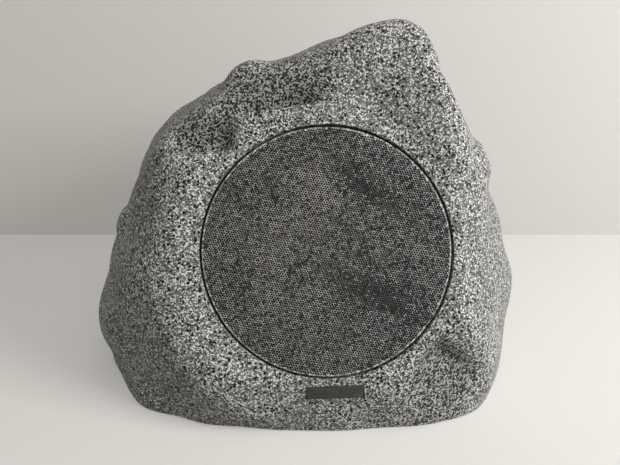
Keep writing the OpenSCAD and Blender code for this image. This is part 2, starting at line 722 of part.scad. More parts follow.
module base_plate() {
    socket_r = foot_d / 2 + socket_gap;
    color("#2e2f30") difference() {
        union() {
            translate([0, 0, plate_z]) linear_extrude(base_t) polygon(rim_outline(rim_t + base_gap));
            at_feet() ring(socket_r + socket_wall, socket_r, plate_z - foot_t / 2, plate_z + eps);
            at_board_corners() translate([0, 0, plate_z])
                cylinder(h = base_t + pillar_h, r = pillar_r, $fn = 32);
            for (y = long_ribs * rock_d) translate([-rock_w / 3, y - rib_t / 2, plate_z])
                cube([rock_w * 2 / 3, rib_t, base_t + rib_h]);
            for (x = cross_ribs * rock_w) translate([x - rib_t / 2, -rock_d / 4, plate_z])
                cube([rib_t, rock_d / 2, base_t + rib_h]);
        }
        at_base_screws() translate([0, 0, plate_z - eps])
            cylinder(h = base_t + 2 * eps, r = screw_r + screw_gap, $fn = 32);
        at_board_corners() translate([0, 0, plate_z + 1])
            cylinder(h = base_t + pillar_h, r = board_screw_r + pilot_gap, $fn = 24);
        at_feet() translate([0, 0, plate_z - eps])
            cylinder(h = base_t + 2 * eps, r = foot_stem_r + pilot_gap, $fn = 32);
    }
}

module base_gasket() {
    color("#1b1b1b") translate([0, 0, gasket_z]) difference() {
        linear_extrude(base_gasket_t) polygon(rim_outline(rim_t + base_gap + 1));
        translate([0, 0, -eps]) linear_extrude(base_gasket_t + 2 * eps)
            polygon(rim_outline(rim_t + flange_w));
        at_base_screws() translate([0, 0, -eps])
            cylinder(h = base_gasket_t + 2 * eps, r = screw_r + screw_gap, $fn = 32);
    }
}

module base_screws() {
    color("#9a9a98") at_base_screws() translate([0, 0, plate_z]) rotate([180, 0, 0])
        pan_screw(base_t + base_gasket_t + base_screw_grip);
}

module foot(side_x, side_y) {
    edge = 1;
    stem_top = foot_t + base_t - 0.5;
    color("#1a1a1a") translate(foot_at(side_x, side_y)) rotate_extrude($fn = 48)
        polygon([[0, 0], [foot_d / 2 - edge, 0], [foot_d / 2, edge], [foot_d / 2, foot_t],
            [foot_stem_r, foot_t], [foot_stem_r, stem_top], [0, stem_top]]);
}

// The crossover on its board

module crossover_board() {
    color("#2f5a3a") difference() {
        translate([board_at[0] - board_l / 2, board_at[1] - board_w / 2, board_z])
            cube([board_l, board_w, board_t]);
        at_board_corners() translate([0, 0, board_z - eps])
            cylinder(h = board_t + 2 * eps, r = board_screw_r + screw_gap, $fn = 24);
    }
}

module board_screws() {
    color("#b9b9b6") at_board_corners() translate([0, 0, board_top])
        pan_screw(board_t + 8, board_screw_r, board_screw_head_r, 1.8);
}

module crossover_capacitor() {
    wire_r = 0.5;
    r = cap_d / 2;
    color("#2d4f86") translate([board_at[0] + 18, board_at[1] + 17, board_top + r]) rotate([0, 90, 0]) {
        translate([0, 0, -cap_l / 2]) rotate_extrude($fn = 48) polygon([[0, 0], [r - 1, 0], [r, 1], [r, 3],
            [r - 0.7, 3.8], [r, 4.6], [r, cap_l - 0.6], [r - 0.6, cap_l], [0, cap_l]]);
        for (side = [-1, 1]) {
            translate([0, 0, side * (cap_l / 2 + 1.5) - 1.6]) cylinder(h = 3.2, r = wire_r, $fn = 16);
            translate([0, 0, side * (cap_l / 2 + 3)]) rotate([0, 90, 0])
                cylinder(h = r, r = wire_r, $fn = 16);
        }
    }
}

module at_inductor() {
    translate([board_at[0] - 22, board_at[1] + 8, board_top]) children();
}

module inductor_bobbin() {
    core_r = bobbin_d / 4;
    cheek = 1.5;
    color("#d8d4c6") at_inductor() difference() {
        rotate_extrude() polygon([[0, 0], [bobbin_d / 2, 0], [bobbin_d / 2, cheek], [core_r, cheek],
            [core_r, bobbin_h - cheek], [bobbin_d / 2, bobbin_h - cheek], [bobbin_d / 2, bobbin_h],
            [0, bobbin_h]]);
        translate([0, 0, -eps]) cylinder(h = bobbin_h + 2 * eps, r = core_r - cheek);
    }
}

module inductor_winding() {
    cheek = 1.5;
    color("#a8602c") at_inductor() ring(bobbin_d / 2 - 1.5, bobbin_d / 4, cheek, bobbin_h - cheek);
}

module crossover_resistor() {
    size = [30, 9, 9];
    wire_r = 0.4;
    wire_x = size[0] / 2 + 1.5;
    color("#e2e0d8") translate([board_at[0] + 18, board_at[1] - 4, board_top]) {
        translate([-size[0] / 2, -size[1] / 2, 0]) cube(size);
        translate([-wire_x, 0, size[2] / 2]) rotate([0, 90, 0])
            cylinder(h = 2 * wire_x, r = wire_r, $fn = 16);
        for (side = [-1, 1]) translate([side * wire_x, 0, 0])
            cylinder(h = size[2] / 2, r = wire_r, $fn = 16);
    }
}

module terminal_block() {
    screw_well = 4;
    color("#26523c") difference() {
        translate([block_at[0] - block_size[0] / 2, block_at[1] - block_size[1] / 2, board_top])
            cube(block_size);
        for (way = [0:block_ways - 1]) {
            mouth = block_entry(way, 0);
            translate([mouth[0], block_at[1], board_top + block_size[2] - screw_well])
                cylinder(h = screw_well + eps, r = 2.4, $fn = 24);
            translate(mouth + [0, block_hole_depth, 0]) rotate([90, 0, 0])
                cylinder(h = block_hole_depth + eps, r = lead_d / 2 + lead_gap, $fn = 24);
        }
    }
}

module woofer_leads() {
    color("#a33a2e") swept_tube(woofer_lead_route, lead_d);
}

module tweeter_leads() {
    color("#2b2b2b") swept_tube(tweeter_lead_route, lead_d);
}

// The cable gland in the rear wall

module gland_body() {
    color("#222222") at_gland() difference() {
        union() {
            translate([0, 0, gland_washer_t]) cylinder(h = gland_flange_t, d = gland_hex_d, $fn = 6);
            translate([0, 0, -gland_stem_in])
                cylinder(h = gland_stem_in + gland_washer_t + gland_flange_t + gland_stem_out, r = gland_r);
        }
        translate([0, 0, -gland_stem_in - eps])
            cylinder(h = gland_stem_in + gland_washer_t + gland_flange_t + gland_stem_out + 2 * eps,
                d = gland_bore_d);
    }
}

module gland_nut() {
    low = gland_washer_t + gland_flange_t;
    top = low + gland_stem_out + gland_seal_l + gland_cap_t;
    outer = gland_r + 2.6;
    color("#262626") at_gland() rotate_extrude() polygon([[gland_r + gland_gap, low], [outer, low],
        [outer, top - 3], [outer - 2.5, top], [gland_bore_d / 2 + 0.4, top],
        [gland_bore_d / 2 + 0.4, top - gland_cap_t], [gland_r + gland_gap, top - gland_cap_t]]);
}

module gland_lock_nut() {
    color("#222222") at_gland() difference() {
        translate([0, 0, -gland_wall - gland_lock_t]) cylinder(h = gland_lock_t, d = gland_hex_d, $fn = 6);
        translate([0, 0, -gland_wall - gland_lock_t - eps])
            cylinder(h = gland_lock_t + 2 * eps, r = gland_r + gland_gap);
    }
}

module gland_washer() {
    color("#101010") at_gland() ring(gland_hex_d / 2 + 0.5, gland_r + gland_gap, 0, gland_washer_t);
}

module gland_seal() {
    low = gland_washer_t + gland_flange_t + gland_stem_out;
    color("#171717") at_gland() ring(gland_r, gland_bore_d / 2 + 0.1, low, low + gland_seal_l);
}

rock_shell();
badge_plate();
grille_mesh();
grille_scrim();
grille_ring();
woofer_gasket();
woofer_basket();
woofer_screws();
woofer_surround();
woofer_cone();
woofer_spider();
coil_former();
coil_winding();
top_plate();
ferrite_magnet();
pole_yoke();
basket_terminals();
tweeter_post();
tweeter_housing();
tweeter_dome();
tweeter_cap();
base_plate();
base_gasket();
base_screws();
foot(-1, -1);  // front_left_foot
foot(1, -1);  // front_right_foot
foot(-1, 1);  // rear_left_foot
foot(1, 1);  // rear_right_foot
crossover_board();
board_screws();
crossover_capacitor();
inductor_bobbin();
inductor_winding();
crossover_resistor();
terminal_block();
woofer_leads();
tweeter_leads();
gland_body();
gland_nut();
gland_lock_nut();
gland_washer();
gland_seal();
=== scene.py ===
"""Looks of a rock-shaped garden speaker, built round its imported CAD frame.

The moulded rock, its perforated grille, the bare badge and the pieces listed in the sub-assemblies'
classes are modelled here at full detail. Every other piece keeps its CAD solid and gets its finish.
Sizes are in millimetres and degrees; meshes, and what the stage holds, are in metres.
"""
import logging
import math
from collections.abc import Callable
from dataclasses import dataclass, field
from enum import Enum

import bmesh
import bpy
import numpy as np
from mathutils import Matrix, Vector


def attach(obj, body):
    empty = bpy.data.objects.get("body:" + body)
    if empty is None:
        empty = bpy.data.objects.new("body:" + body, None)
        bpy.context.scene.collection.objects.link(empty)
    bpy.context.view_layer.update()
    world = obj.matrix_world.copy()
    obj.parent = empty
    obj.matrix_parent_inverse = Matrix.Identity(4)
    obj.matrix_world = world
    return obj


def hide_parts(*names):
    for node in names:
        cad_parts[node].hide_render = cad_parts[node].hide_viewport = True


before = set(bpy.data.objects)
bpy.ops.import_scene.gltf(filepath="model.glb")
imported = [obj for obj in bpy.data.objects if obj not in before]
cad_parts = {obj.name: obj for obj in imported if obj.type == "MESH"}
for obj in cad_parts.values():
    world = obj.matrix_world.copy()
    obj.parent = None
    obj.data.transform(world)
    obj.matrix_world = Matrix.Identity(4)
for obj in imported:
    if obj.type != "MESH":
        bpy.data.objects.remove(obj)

LOG = logging.getLogger("garden_speaker")
MM = 0.001
BODY = "root"
# Point attribute holding how deep each point lies in a chipped hollow, read by the paint as the strength of its
# painted shade
HOLLOW_SHADE = "hollow"
Colour = tuple[float, float, float]
Point = tuple[float, float, float]
Piece = bpy.types.Object
Material = bpy.types.Material


# Shader graph helpers

def operator(operation: str, reflected: bool = False) -> Callable[["Wire", "Value"], "Wire"]:
    """Returns the method behind one of Python's operators, which adds a Math node.

    Args:
        operation: The Math node's operation.
        reflected: Whether the wire stands on the operator's right.

    Returns:
        A method of Wire.
    """
    def apply(self: "Wire", other: "Value") -> "Wire":
        """Adds the node to the wire's graph."""
        return self.graph.maths(operation, *((other, self) if reflected else (self, other)))
    return apply


class Wire:
    """A socket's value in a shader graph, with Python's arithmetic. Below gives 1 or 0."""

    def __init__(self, graph: "Graph", socket: bpy.types.NodeSocket) -> None:
        """Keeps the graph and the output socket that holds the value."""
        self.graph = graph
        self.socket = socket

    __add__ = operator("ADD")
    __radd__ = operator("ADD", reflected=True)
    __sub__ = operator("SUBTRACT")
    __rsub__ = operator("SUBTRACT", reflected=True)
    __mul__ = operator("MULTIPLY")
    __rmul__ = operator("MULTIPLY", reflected=True)
    __lt__ = operator("LESS_THAN")

    def also(self, output: str) -> "Wire":
        """Returns another output of the node that this value comes from."""
        return Wire(self.graph, self.socket.node.outputs[output])


Value = Wire | float
Settings = dict[str, object]
Inputs = dict[str | int, object]


class Graph:
    """One material's shader graph, with a Principled surface at its end."""

    def __init__(self, name: str) -> None:
        """Makes an empty graph in a new material of that name."""
        self.material = bpy.data.materials.new(name)
        self.material.use_nodes = True
        self.tree = self.material.node_tree
        self.tree.nodes.clear()

    def node(self, kind: str, settings: Settings | None = None, inputs: Inputs | None = None,
             output: str | int = 0) -> Wire:
        """Adds a node.

        Args:
            kind: The node's type name.
            settings: The node's own settings, set first.
            inputs: Numbers, colours or wires for its sockets, by name or index.
            output: The output to return.

        Returns:
            The chosen output.
        """
        made = self.tree.nodes.new(kind)
        for key, value in (settings or {}).items():
            setattr(made, key, value)
        for key, value in (inputs or {}).items():
            if isinstance(value, Wire):
                self.tree.links.new(value.socket, made.inputs[key])
            else:
                made.inputs[key].default_value = value
        return Wire(self, made.outputs[output])

    def maths(self, operation: str, *values: Value) -> Wire:
        """Adds one Math node and returns its result."""
        return self.node("ShaderNodeMath", {"operation": operation}, dict(enumerate(values)))

    def vector(self, operation: str, *values: object, output: str = "Vector") -> Wire:
        """Adds one Vector Math node and returns its result."""
        return self.node("ShaderNodeVectorMath", {"operation": operation}, dict(enumerate(values)), output)

    def place(self) -> Wire:
        """Returns the point on the object, in metres in the shared frame."""
        return self.node("ShaderNodeTexCoord", output="Object")

    def step(self, value: Wire, low: float, high: float) -> Wire:
        """Returns a soft step from 0 at low to 1 at high. High may be the smaller one."""
        return self.node("ShaderNodeMapRange", {"interpolation_type": "SMOOTHSTEP"},
                         {"Value": value, "From Min": low, "From Max": high})

    def noise(self, place: Wire, size_mm: float, detail: float = 2.0, roughness: float = 0.5) -> Wire:
        """Returns cloudy noise from 0 to 1 with features of about size_mm."""
        return self.node("ShaderNodeTexNoise", {"noise_dimensions": "3D"},
                         {"Vector": place, "Scale": 1 / (size_mm * MM), "Detail": detail,
                          "Roughness": roughness}, "Fac")

    def along(self, place: Wire, centre: Point, axis: Point) -> Wire:
        """Returns the distance of a place from a centre along an axis, in millimetres."""
        off = self.vector("SUBTRACT", place, centre)
        return self.vector("DOT_PRODUCT", off, tuple(a / MM for a in axis), output="Value")

    def facing(self, tilt: float) -> Wire:
        """Returns 1 where the surface faces the front, leaning back by tilt degrees, and 0 at its sides."""
        out = (0.0, -math.cos(math.radians(tilt)), math.sin(math.radians(tilt)))
        normal = self.node("ShaderNodeNewGeometry", output="True Normal")
        return self.step(self.vector("DOT_PRODUCT", normal, out, output="Value"), 0.35, 0.75)

    def shifted(self, place: Wire, offset: Point) -> Wire:
        """Returns the place moved by a constant offset, for an independent pattern."""
        return self.vector("ADD", place, offset)

    def wobbled(self, place: Wire, size_mm: float, reach_mm: float) -> Wire:
        """Returns the place stirred by noise of a size, by up to a reach."""
        stir = self.node("ShaderNodeTexNoise", {"noise_dimensions": "3D"},
                         {"Vector": place, "Scale": 1 / (size_mm * MM), "Detail": 1.0}, "Color")
        centred = self.vector("SUBTRACT", stir, (0.5, 0.5, 0.5))
        return self.vector("MULTIPLY_ADD", centred, (2 * reach_mm * MM,) * 3, place)

    def drawn(self, place: Wire, stretch: float) -> Wire:
        """Returns the place for a pattern stretched along X."""
        return self.vector("MULTIPLY", place, (stretch, 1.0, 1.0))

    def waves(self, along: Wire, length_mm: float) -> Wire:
        """Returns a sine wave of a length in millimetres."""
        return self.maths("SINE", along * (math.tau / (length_mm * MM)))

    def cells(self, place: Wire, size_mm: float) -> tuple[Wire, Wire]:
        """Scatters one point per cell.

        Args:
            place: The point to look up.
            size_mm: The size of a cell.

        Returns:
            The distance to the nearest point in cells, and a random number that the cell keeps.
        """
        distance = self.node("ShaderNodeTexVoronoi", {"voronoi_dimensions": "3D", "feature": "F1"},
                             {"Vector": place, "Scale": 1 / (size_mm * MM)}, "Distance")
        lot = self.node("ShaderNodeSeparateColor", inputs={"Color": distance.also("Color")}, output="Red")
        return distance, lot

    def blend(self, share: Value, under: object, over: object) -> Wire:
        """Returns the colour over laid on the colour under by a share."""
        return self.node("ShaderNodeMix", {"data_type": "RGBA", "clamp_factor": True},
                         {0: share, 6: rgba(under), 7: rgba(over)}, 2)

    def finish(self, colour: object, roughness: Value, height: Wire | None = None, depth_mm: float = 0.1,
               metallic: float = 0.0, specular: float = 0.5, glow: Wire | None = None,
               alpha: Value = 1.0) -> Material:
        """Ends the graph in a Principled surface.

        Args:
            colour: The base colour, or a wire.
            roughness: The roughness, or a wire.
            height: The relief, from 0 to 1.
            depth_mm: The height that 1 stands for.
            metallic: 1 for bare metal.
            specular: The level of the highlights.
            glow: The colour that the surface gives off.
            alpha: 0 where the surface is clear, 1 where it is solid.

        Returns:
            The finished material.
        """
        inputs: Inputs = {"Base Color": rgba(colour), "Roughness": roughness, "Metallic": metallic,
                          "Specular IOR Level": specular, "Alpha": alpha}
        if height is not None:
            inputs["Normal"] = self.node("ShaderNodeBump", inputs={
                "Strength": 1.0, "Distance": depth_mm * MM, "Height": height}, output="Normal")
        if glow is not None:
            inputs |= {"Emission Color": glow, "Emission Strength": 1.0}
        surface = self.node("ShaderNodeBsdfPrincipled", inputs=inputs)
        end = self.tree.nodes.new("ShaderNodeOutputMaterial")
        self.tree.links.new(surface.socket, end.inputs["Surface"])
        return self.material


def rgba(colour: object) -> object:
    """Returns a colour with its alpha, and leaves a wire as it is."""
    return colour if isinstance(colour, Wire) else (*colour, 1.0)


# Finishes

def scaled(colour: Colour, factor: float, lift: float = 0.0) -> Colour:
    """Returns a colour made lighter or darker."""
    return tuple(min(1.0, c * factor + lift) for c in colour)


@dataclass(frozen=True)
class Finish:
    """A surface finish that dresses pieces of one material slot."""

    name: str
    slot: str

    def build(self, graph: Graph) -> Material:
        """Returns the finished material. Each kind of finish has its own."""
        raise NotImplementedError

    def material(self) -> Material:
        """Returns the material, made once."""
        made = bpy.data.materials.get(self.name)
        return made or self.build(Graph(self.name))


@dataclass(frozen=True)
class GranitePaint(Finish):
    """Sprayed granite: fine grains from white to black on a grey ground, round black drops, and painted shade
    in the chipped hollows.
    """

    ground: Colour = (0.205, 0.206, 0.201)
    shade: Colour = (0.075, 0.076, 0.075)
    pale: Colour = (0.93, 0.93, 0.90)
    dark: Colour = (0.006, 0.006, 0.007)
    grain_mm: float = 1.1
    pale_share: float = 0.27
    shade_share: float = 0.21
    soot_share: float = 0.16
    drop_mm: float = 4.4
    drop_r: float = 0.31
    drop_share: float = 0.52
    # Painted shade: how far the chipped hollows are darkened towards near black
    hollow_shade: float = 0.48
    cloud_mm: float = 55.0
    tone_mm: float = 5.0
    drift: float = 0.3
    # Painted shade: how much the chipped hollows lose their pale grains
    hollow_shade_drift: float = 0.14

    def build(self, graph: Graph) -> Material:
        """Lays ground, grains and drops in turn, each with its own relief, then darkens the chipped hollows
        with painted shade.
        """
        place = graph.place()
        cloud = graph.noise(place, self.cloud_mm)
        # Painted shade: the hollow mark greys the ground, thins the pale grains and darkens the colour in the
        # chipped hollows
        hollow = graph.node("ShaderNodeAttribute", {"attribute_name": HOLLOW_SHADE}, output="Fac")
        drift = (cloud - 0.5) * self.drift - hollow * self.hollow_shade_drift
        tone = graph.noise(graph.shifted(place, (0.3, 0.1, 0.2)), self.tone_mm)
        unshaded_ground = graph.blend(graph.step(tone, 0.35, 0.7), self.ground, scaled(self.ground, 1.5))
        ground = graph.blend(hollow, unshaded_ground, self.shade)
        _, lot = graph.cells(graph.wobbled(place, 1.4, 0.25), self.grain_mm)
        shades = graph.step(lot, self.shade_share + 0.01, self.shade_share - 0.01)
        soot = graph.step(lot, self.soot_share + 0.01, self.soot_share - 0.01)
        white = graph.step(lot - drift, 0.99 - self.pale_share, 1.01 - self.pale_share)
        distance, drop_lot = graph.cells(graph.wobbled(place, 2.2, 0.25), self.drop_mm)
        drop = graph.step(distance, self.drop_r + 0.04, self.drop_r - 0.04)
        drop = drop * (drop_lot < (self.drop_share - drift))
        grains = graph.blend(white, graph.blend(shades, ground, self.shade), self.pale)
        black = graph.maths("MAXIMUM", soot, drop)
        painted = graph.blend(black, grains, self.dark)
        # Painted shade laid over the chipped hollows
        colour = graph.blend(hollow * self.hollow_shade, painted, self.dark)
        roughness = 0.78 - white * 0.12 - black * 0.18
        height = tone * 0.3 + white * 0.4 + drop * 0.6
        return graph.finish(colour, roughness, height, 0.2, specular=0.35)


@dataclass(frozen=True)
class SpeckledSheet(Finish):
    """Perforated steel, painted grey, dusted with pale paint, with soft darker and paler streaks, and painted
    shade on the hole walls.
    """

    ground: Colour = (0.52, 0.52, 0.51)
    pale: Colour = (0.90, 0.90, 0.88)
    dark: Colour = (0.08, 0.08, 0.08)
    # Near-black painted shade for the hole walls and other surfaces that do not face the front
    side_shade: Colour = (0.012, 0.012, 0.012)
    # Grey that the ground turns to where the streaks are darkest
    streak_tint: Colour = (0.12, 0.12, 0.12)
    speck_mm: float = 1.7
    centre: Point = (0.019, -0.141, 0.160)
    tilt: float = 23.0
    cloud_mm: float = 45.0
    fade: float = 0.35
    streaks: tuple[tuple[float, ...], ...] = (
        (37.0, 54.0, -36.0, 44.0, 11.0, 0.55), (46.0, -40.0, -24.0, 56.0, 11.0, 0.6),
        (-8.0, 52.0, 80.0, 22.0, 16.0, -0.45), (-44.0, -8.0, 75.0, 34.0, 15.0, -0.35))

    def _streak_level(self, graph: Graph, place: Wire) -> Wire:
        """Returns how dark the streaks make each place.

        Args:
            graph: The graph to build in.
            place: The point to look up.

        Returns:
            The sum over the streaks. Each row of them holds a place on the sheet in millimetres,
            a turn in degrees, a length, a width and a strength, below 0 for a pale one.
        """
        side = Vector((1, 0, 0))
        up = Vector((0, math.sin(math.radians(self.tilt)), math.cos(math.radians(self.tilt))))
        total: Value = 0.0
        for x, y, turn, length, width, strength in self.streaks:
            c, s = math.cos(math.radians(turn)), math.sin(math.radians(turn))
            middle = tuple(Vector(self.centre) + (side * x + up * y) * MM)
            along = graph.along(place, middle, tuple((side * c + up * s) / length))
            across = graph.along(place, middle, tuple((up * c - side * s) / width))
            off = along * along + across * across
            total = total + graph.maths("EXPONENT", off * -1.0) * strength
        return total

    def build(self, graph: Graph) -> Material:
        """Dusts the sheet with pale and dark specks over the streaks, and gives every surface that does not
        face the front a near-black painted shade.
        """
        place = graph.place()
        cloud = graph.noise(graph.shifted(place, (0.11, 0.5, 0.33)), self.cloud_mm)
        streak_level = self._streak_level(graph, graph.wobbled(place, 30.0, 6.0)) + (cloud - 0.5) * 0.6
        _, lot = graph.cells(graph.wobbled(place, 2.0, 0.4), self.speck_mm)
        white = graph.step(lot - streak_level * self.fade, 0.72, 0.80)
        black = graph.step(lot - streak_level * self.fade, 0.26, 0.20)
        # The streaks darken or lighten the grey ground and shift its specks
        streak_mask = graph.step(streak_level, -0.5, 0.9)
        ground = graph.blend(streak_mask * 0.9, self.ground, self.streak_tint)
        painted = graph.blend(white, graph.blend(black, ground, self.dark), self.pale)
        # Painted shade: hole walls, sides and back of the sheet turn near black so the holes read dark
        colour = graph.blend(graph.facing(self.tilt), self.side_shade, painted)
        return graph.finish(colour, 0.62 + white * 0.1, lot, 0.05, specular=0.4)


@dataclass(frozen=True)
class MouldedPlastic(Finish):
    """Moulded or dipped plastic and rubber, with a fine spark-eroded grain."""

    tint: Colour = (0.02, 0.02, 0.02)
    grain_mm: float = 0.6
    depth_mm: float = 0.03
    gloss: float = 0.5
    cloud_mm: float = 18.0

    def build(self, graph: Graph) -> Material:
        """Varies tint and roughness slightly over a fine grain."""
        place = graph.place()
        grain = graph.noise(place, self.grain_mm)
        cloud = graph.noise(place, self.cloud_mm)
        colour = graph.blend(cloud * 0.7 + grain * 0.3, self.tint, scaled(self.tint, 1.35, 0.004))
        return graph.finish(colour, self.gloss + (cloud - 0.5) * 0.15, grain, self.depth_mm)


@dataclass(frozen=True)
class BareMetal(Finish):
    """Plated, turned or drawn metal with faint streaks."""

    tint: Colour = (0.55, 0.55, 0.54)
    gloss: float = 0.36
    streak_mm: float = 1.2
    cloud_mm: float = 9.0

    def build(self, graph: Graph) -> Material:
        """Streaks the metal's colour and roughness along one direction."""
        place = graph.place()
        streak = graph.noise(graph.drawn(place, 0.15), self.streak_mm, 3.0)
        cloud = graph.noise(place, self.cloud_mm)
        colour = graph.blend(streak * 0.6 + cloud * 0.4, scaled(self.tint, 0.7), self.tint)
        return graph.finish(colour, self.gloss + (streak - 0.5) * 0.2, streak, 0.02, metallic=1.0)


@dataclass(frozen=True)
class WovenCloth(Finish):
    """Plain woven or felted cloth."""

    tint: Colour = (0.012, 0.012, 0.012)
    thread_mm: float = 0.7

    def build(self, graph: Graph) -> Material:
        """Crosses two sets of threads over the cloth."""
        place = graph.place()
        across = graph.node("ShaderNodeSeparateXYZ", inputs={"Vector": place}, output="X")
        warp = graph.waves(across, self.thread_mm)
        weave = warp * graph.waves(across.also("Z"), self.thread_mm) * 0.5 + 0.5
        colour = graph.blend(weave, self.tint, scaled(self.tint, 2.0, 0.002))
        return graph.finish(colour, 0.9, weave, 0.12, specular=0.2)


@dataclass(frozen=True)
class PressedFibre(Finish):
    """Pressed paper, laminate or fired ceramic with a mottled face."""

    tint: Colour = (0.03, 0.034, 0.036)
    fleck_mm: float = 1.4
    gloss: float = 0.75

    def build(self, graph: Graph) -> Material:
        """Mottles the face with fibres of two sizes."""
        place = graph.place()
        fibre = graph.noise(graph.wobbled(place, 3.0, 1.0), self.fleck_mm, 3.0, 0.6)
        colour = graph.blend(graph.step(fibre, 0.35, 0.7), self.tint, scaled(self.tint, 1.7, 0.01))
        return graph.finish(colour, self.gloss, fibre, 0.06)


@dataclass(frozen=True)
class WoundWire(Finish):
    """Lacquered wire wound in close turns about an axis."""

    tint: Colour = (0.5, 0.2, 0.06)
    wire_mm: float = 0.8

    def build(self, graph: Graph) -> Material:
        """Lines the winding with its turns, with painted shade in the troughs between them."""
        place = graph.place()
        turns = graph.node("ShaderNodeSeparateXYZ", inputs={"Vector": place}, output="Z")
        crest = graph.waves(turns, self.wire_mm) * 0.5 + 0.5
        # Painted shade: the troughs between turns are darkened to 35 % of the copper's colour
        colour = graph.blend(crest, scaled(self.tint, 0.35), self.tint)
        return graph.finish(colour, 0.3, crest, 0.15, metallic=1.0)


@dataclass(frozen=True)
class BadgeMetal(Finish):
    """Satin bronze-grey plate, rubbed paler in soft patches."""

    tint: Colour = (0.045, 0.044, 0.042)
    rub: Colour = (0.115, 0.112, 0.105)
    streak_mm: float = 0.5
    cloud_mm: float = 7.0

    def build(self, graph: Graph) -> Material:
        """Brushes the plate along its length."""
        place = graph.place()
        streak = graph.noise(graph.drawn(place, 0.08), self.streak_mm, 3.0)
        cloud = graph.step(graph.noise(place, self.cloud_mm), 0.4, 0.75)
        colour = graph.blend(streak * 0.35 + cloud * 0.45, self.tint, self.rub)
        return graph.finish(colour, 0.42 + streak * 0.16, streak, 0.015, metallic=0.35)


class Finishes(Enum):
    """The finishes of the speaker."""

    STONE = GranitePaint("granite_paint", "stone_shell")
    GRILLE = SpeckledSheet("speckled_sheet", "grille_metal")
    BADGE = BadgeMetal("badge_satin", "badge_metal")
    DUST_CLOTH = WovenCloth("dust_cloth", "dust_cloth", (0.003, 0.003, 0.003), 0.7)
    BLACK_PLASTIC = MouldedPlastic("black_moulding", "black_plastic", (0.016, 0.016, 0.017))
    BASE_PLASTIC = MouldedPlastic("base_moulding", "base_plastic", (0.03, 0.03, 0.032), 0.9, 0.05, 0.6)
    SEAL = MouldedPlastic("soft_seal", "foam_gasket", (0.02, 0.02, 0.02), 0.4, 0.08, 0.85)
    BASKET = MouldedPlastic("basket_paint", "basket_steel", (0.018, 0.018, 0.019), 0.5, 0.02, 0.38)
    SCREWS = BareMetal("zinc_screws", "zinc_screws")
    SURROUND = MouldedPlastic("surround_rubber", "surround_rubber", (0.014, 0.014, 0.014), 0.5, 0.02, 0.55)
    CONE = PressedFibre("cone_paper", "cone_paper")
    SPIDER = WovenCloth("spider_cloth", "spider_cloth", (0.42, 0.23, 0.07), 1.0)
    FORMER = MouldedPlastic("former_film", "former_film", (0.5, 0.38, 0.18), 2.0, 0.01, 0.25)
    COPPER = WoundWire("copper_wire", "copper_wire")
    PLATED = BareMetal("zinc_steel", "zinc_steel", (0.42, 0.43, 0.44), 0.42, 0.8)
    FERRITE = PressedFibre("ferrite", "ferrite", (0.035, 0.035, 0.038), 0.8, 0.6)
    TAG_BOARD = PressedFibre("tag_board", "tag_board", (0.2, 0.11, 0.03), 1.0, 0.6)
    DOME = BareMetal("dome_foil", "dome_metal", (0.62, 0.63, 0.64), 0.28, 2.0)
    FOOT = MouldedPlastic("foot_rubber", "foot_rubber", (0.014, 0.014, 0.014), 0.8, 0.04, 0.8)
    BOARD = PressedFibre("board_laminate", "board_laminate", (0.02, 0.12, 0.045), 1.2, 0.35)
    CAPACITOR = MouldedPlastic("capacitor_wrap", "capacitor_film", (0.02, 0.07, 0.25), 3.0, 0.02, 0.3)
    BOBBIN = MouldedPlastic("bobbin_nylon", "bobbin_plastic", (0.65, 0.62, 0.52), 0.8, 0.02, 0.5)
    RESISTOR = PressedFibre("resistor_body", "resistor_ceramic", (0.6, 0.59, 0.55), 0.7, 0.85)
    BLOCK = MouldedPlastic("block_moulding", "block_plastic", (0.02, 0.1, 0.05), 0.7, 0.03, 0.45)
    RED_LEAD = MouldedPlastic("red_lead", "red_lead", (0.32, 0.03, 0.02), 2.0, 0.02, 0.4)
    BLACK_LEAD = MouldedPlastic("black_lead", "black_lead", (0.02, 0.02, 0.02), 2.0, 0.02, 0.4)


# Mesh helpers

def frame_at(place: Vector, *turns: tuple[float, str]) -> Matrix:
    """Returns the frame at a place in metres, turned by degrees about its own axes in order."""
    made = Matrix.Translation(place)
    for degrees, axis in turns:
        made = made @ Matrix.Rotation(math.radians(degrees), 4, axis)
    return made


def arc(first: float, last: float, steps: int) -> list[tuple[float, float]]:
    """Returns cosine and sine in even steps from one angle to another, in degrees."""
    angles = [math.radians(first + (last - first) * i / steps) for i in range(steps + 1)]
    return [(math.cos(a), math.sin(a)) for a in angles]


def mesh_object(name: str, points: np.ndarray, faces: list) -> Piece:
    """Makes an object from points in metres and lists of point numbers."""
    mesh = bpy.data.meshes.new(name)
    mesh.from_pydata([tuple(p) for p in points], [], faces)
    mesh.update()
    made = bpy.data.objects.new(name, mesh)
    bpy.context.scene.collection.objects.link(made)
    return made


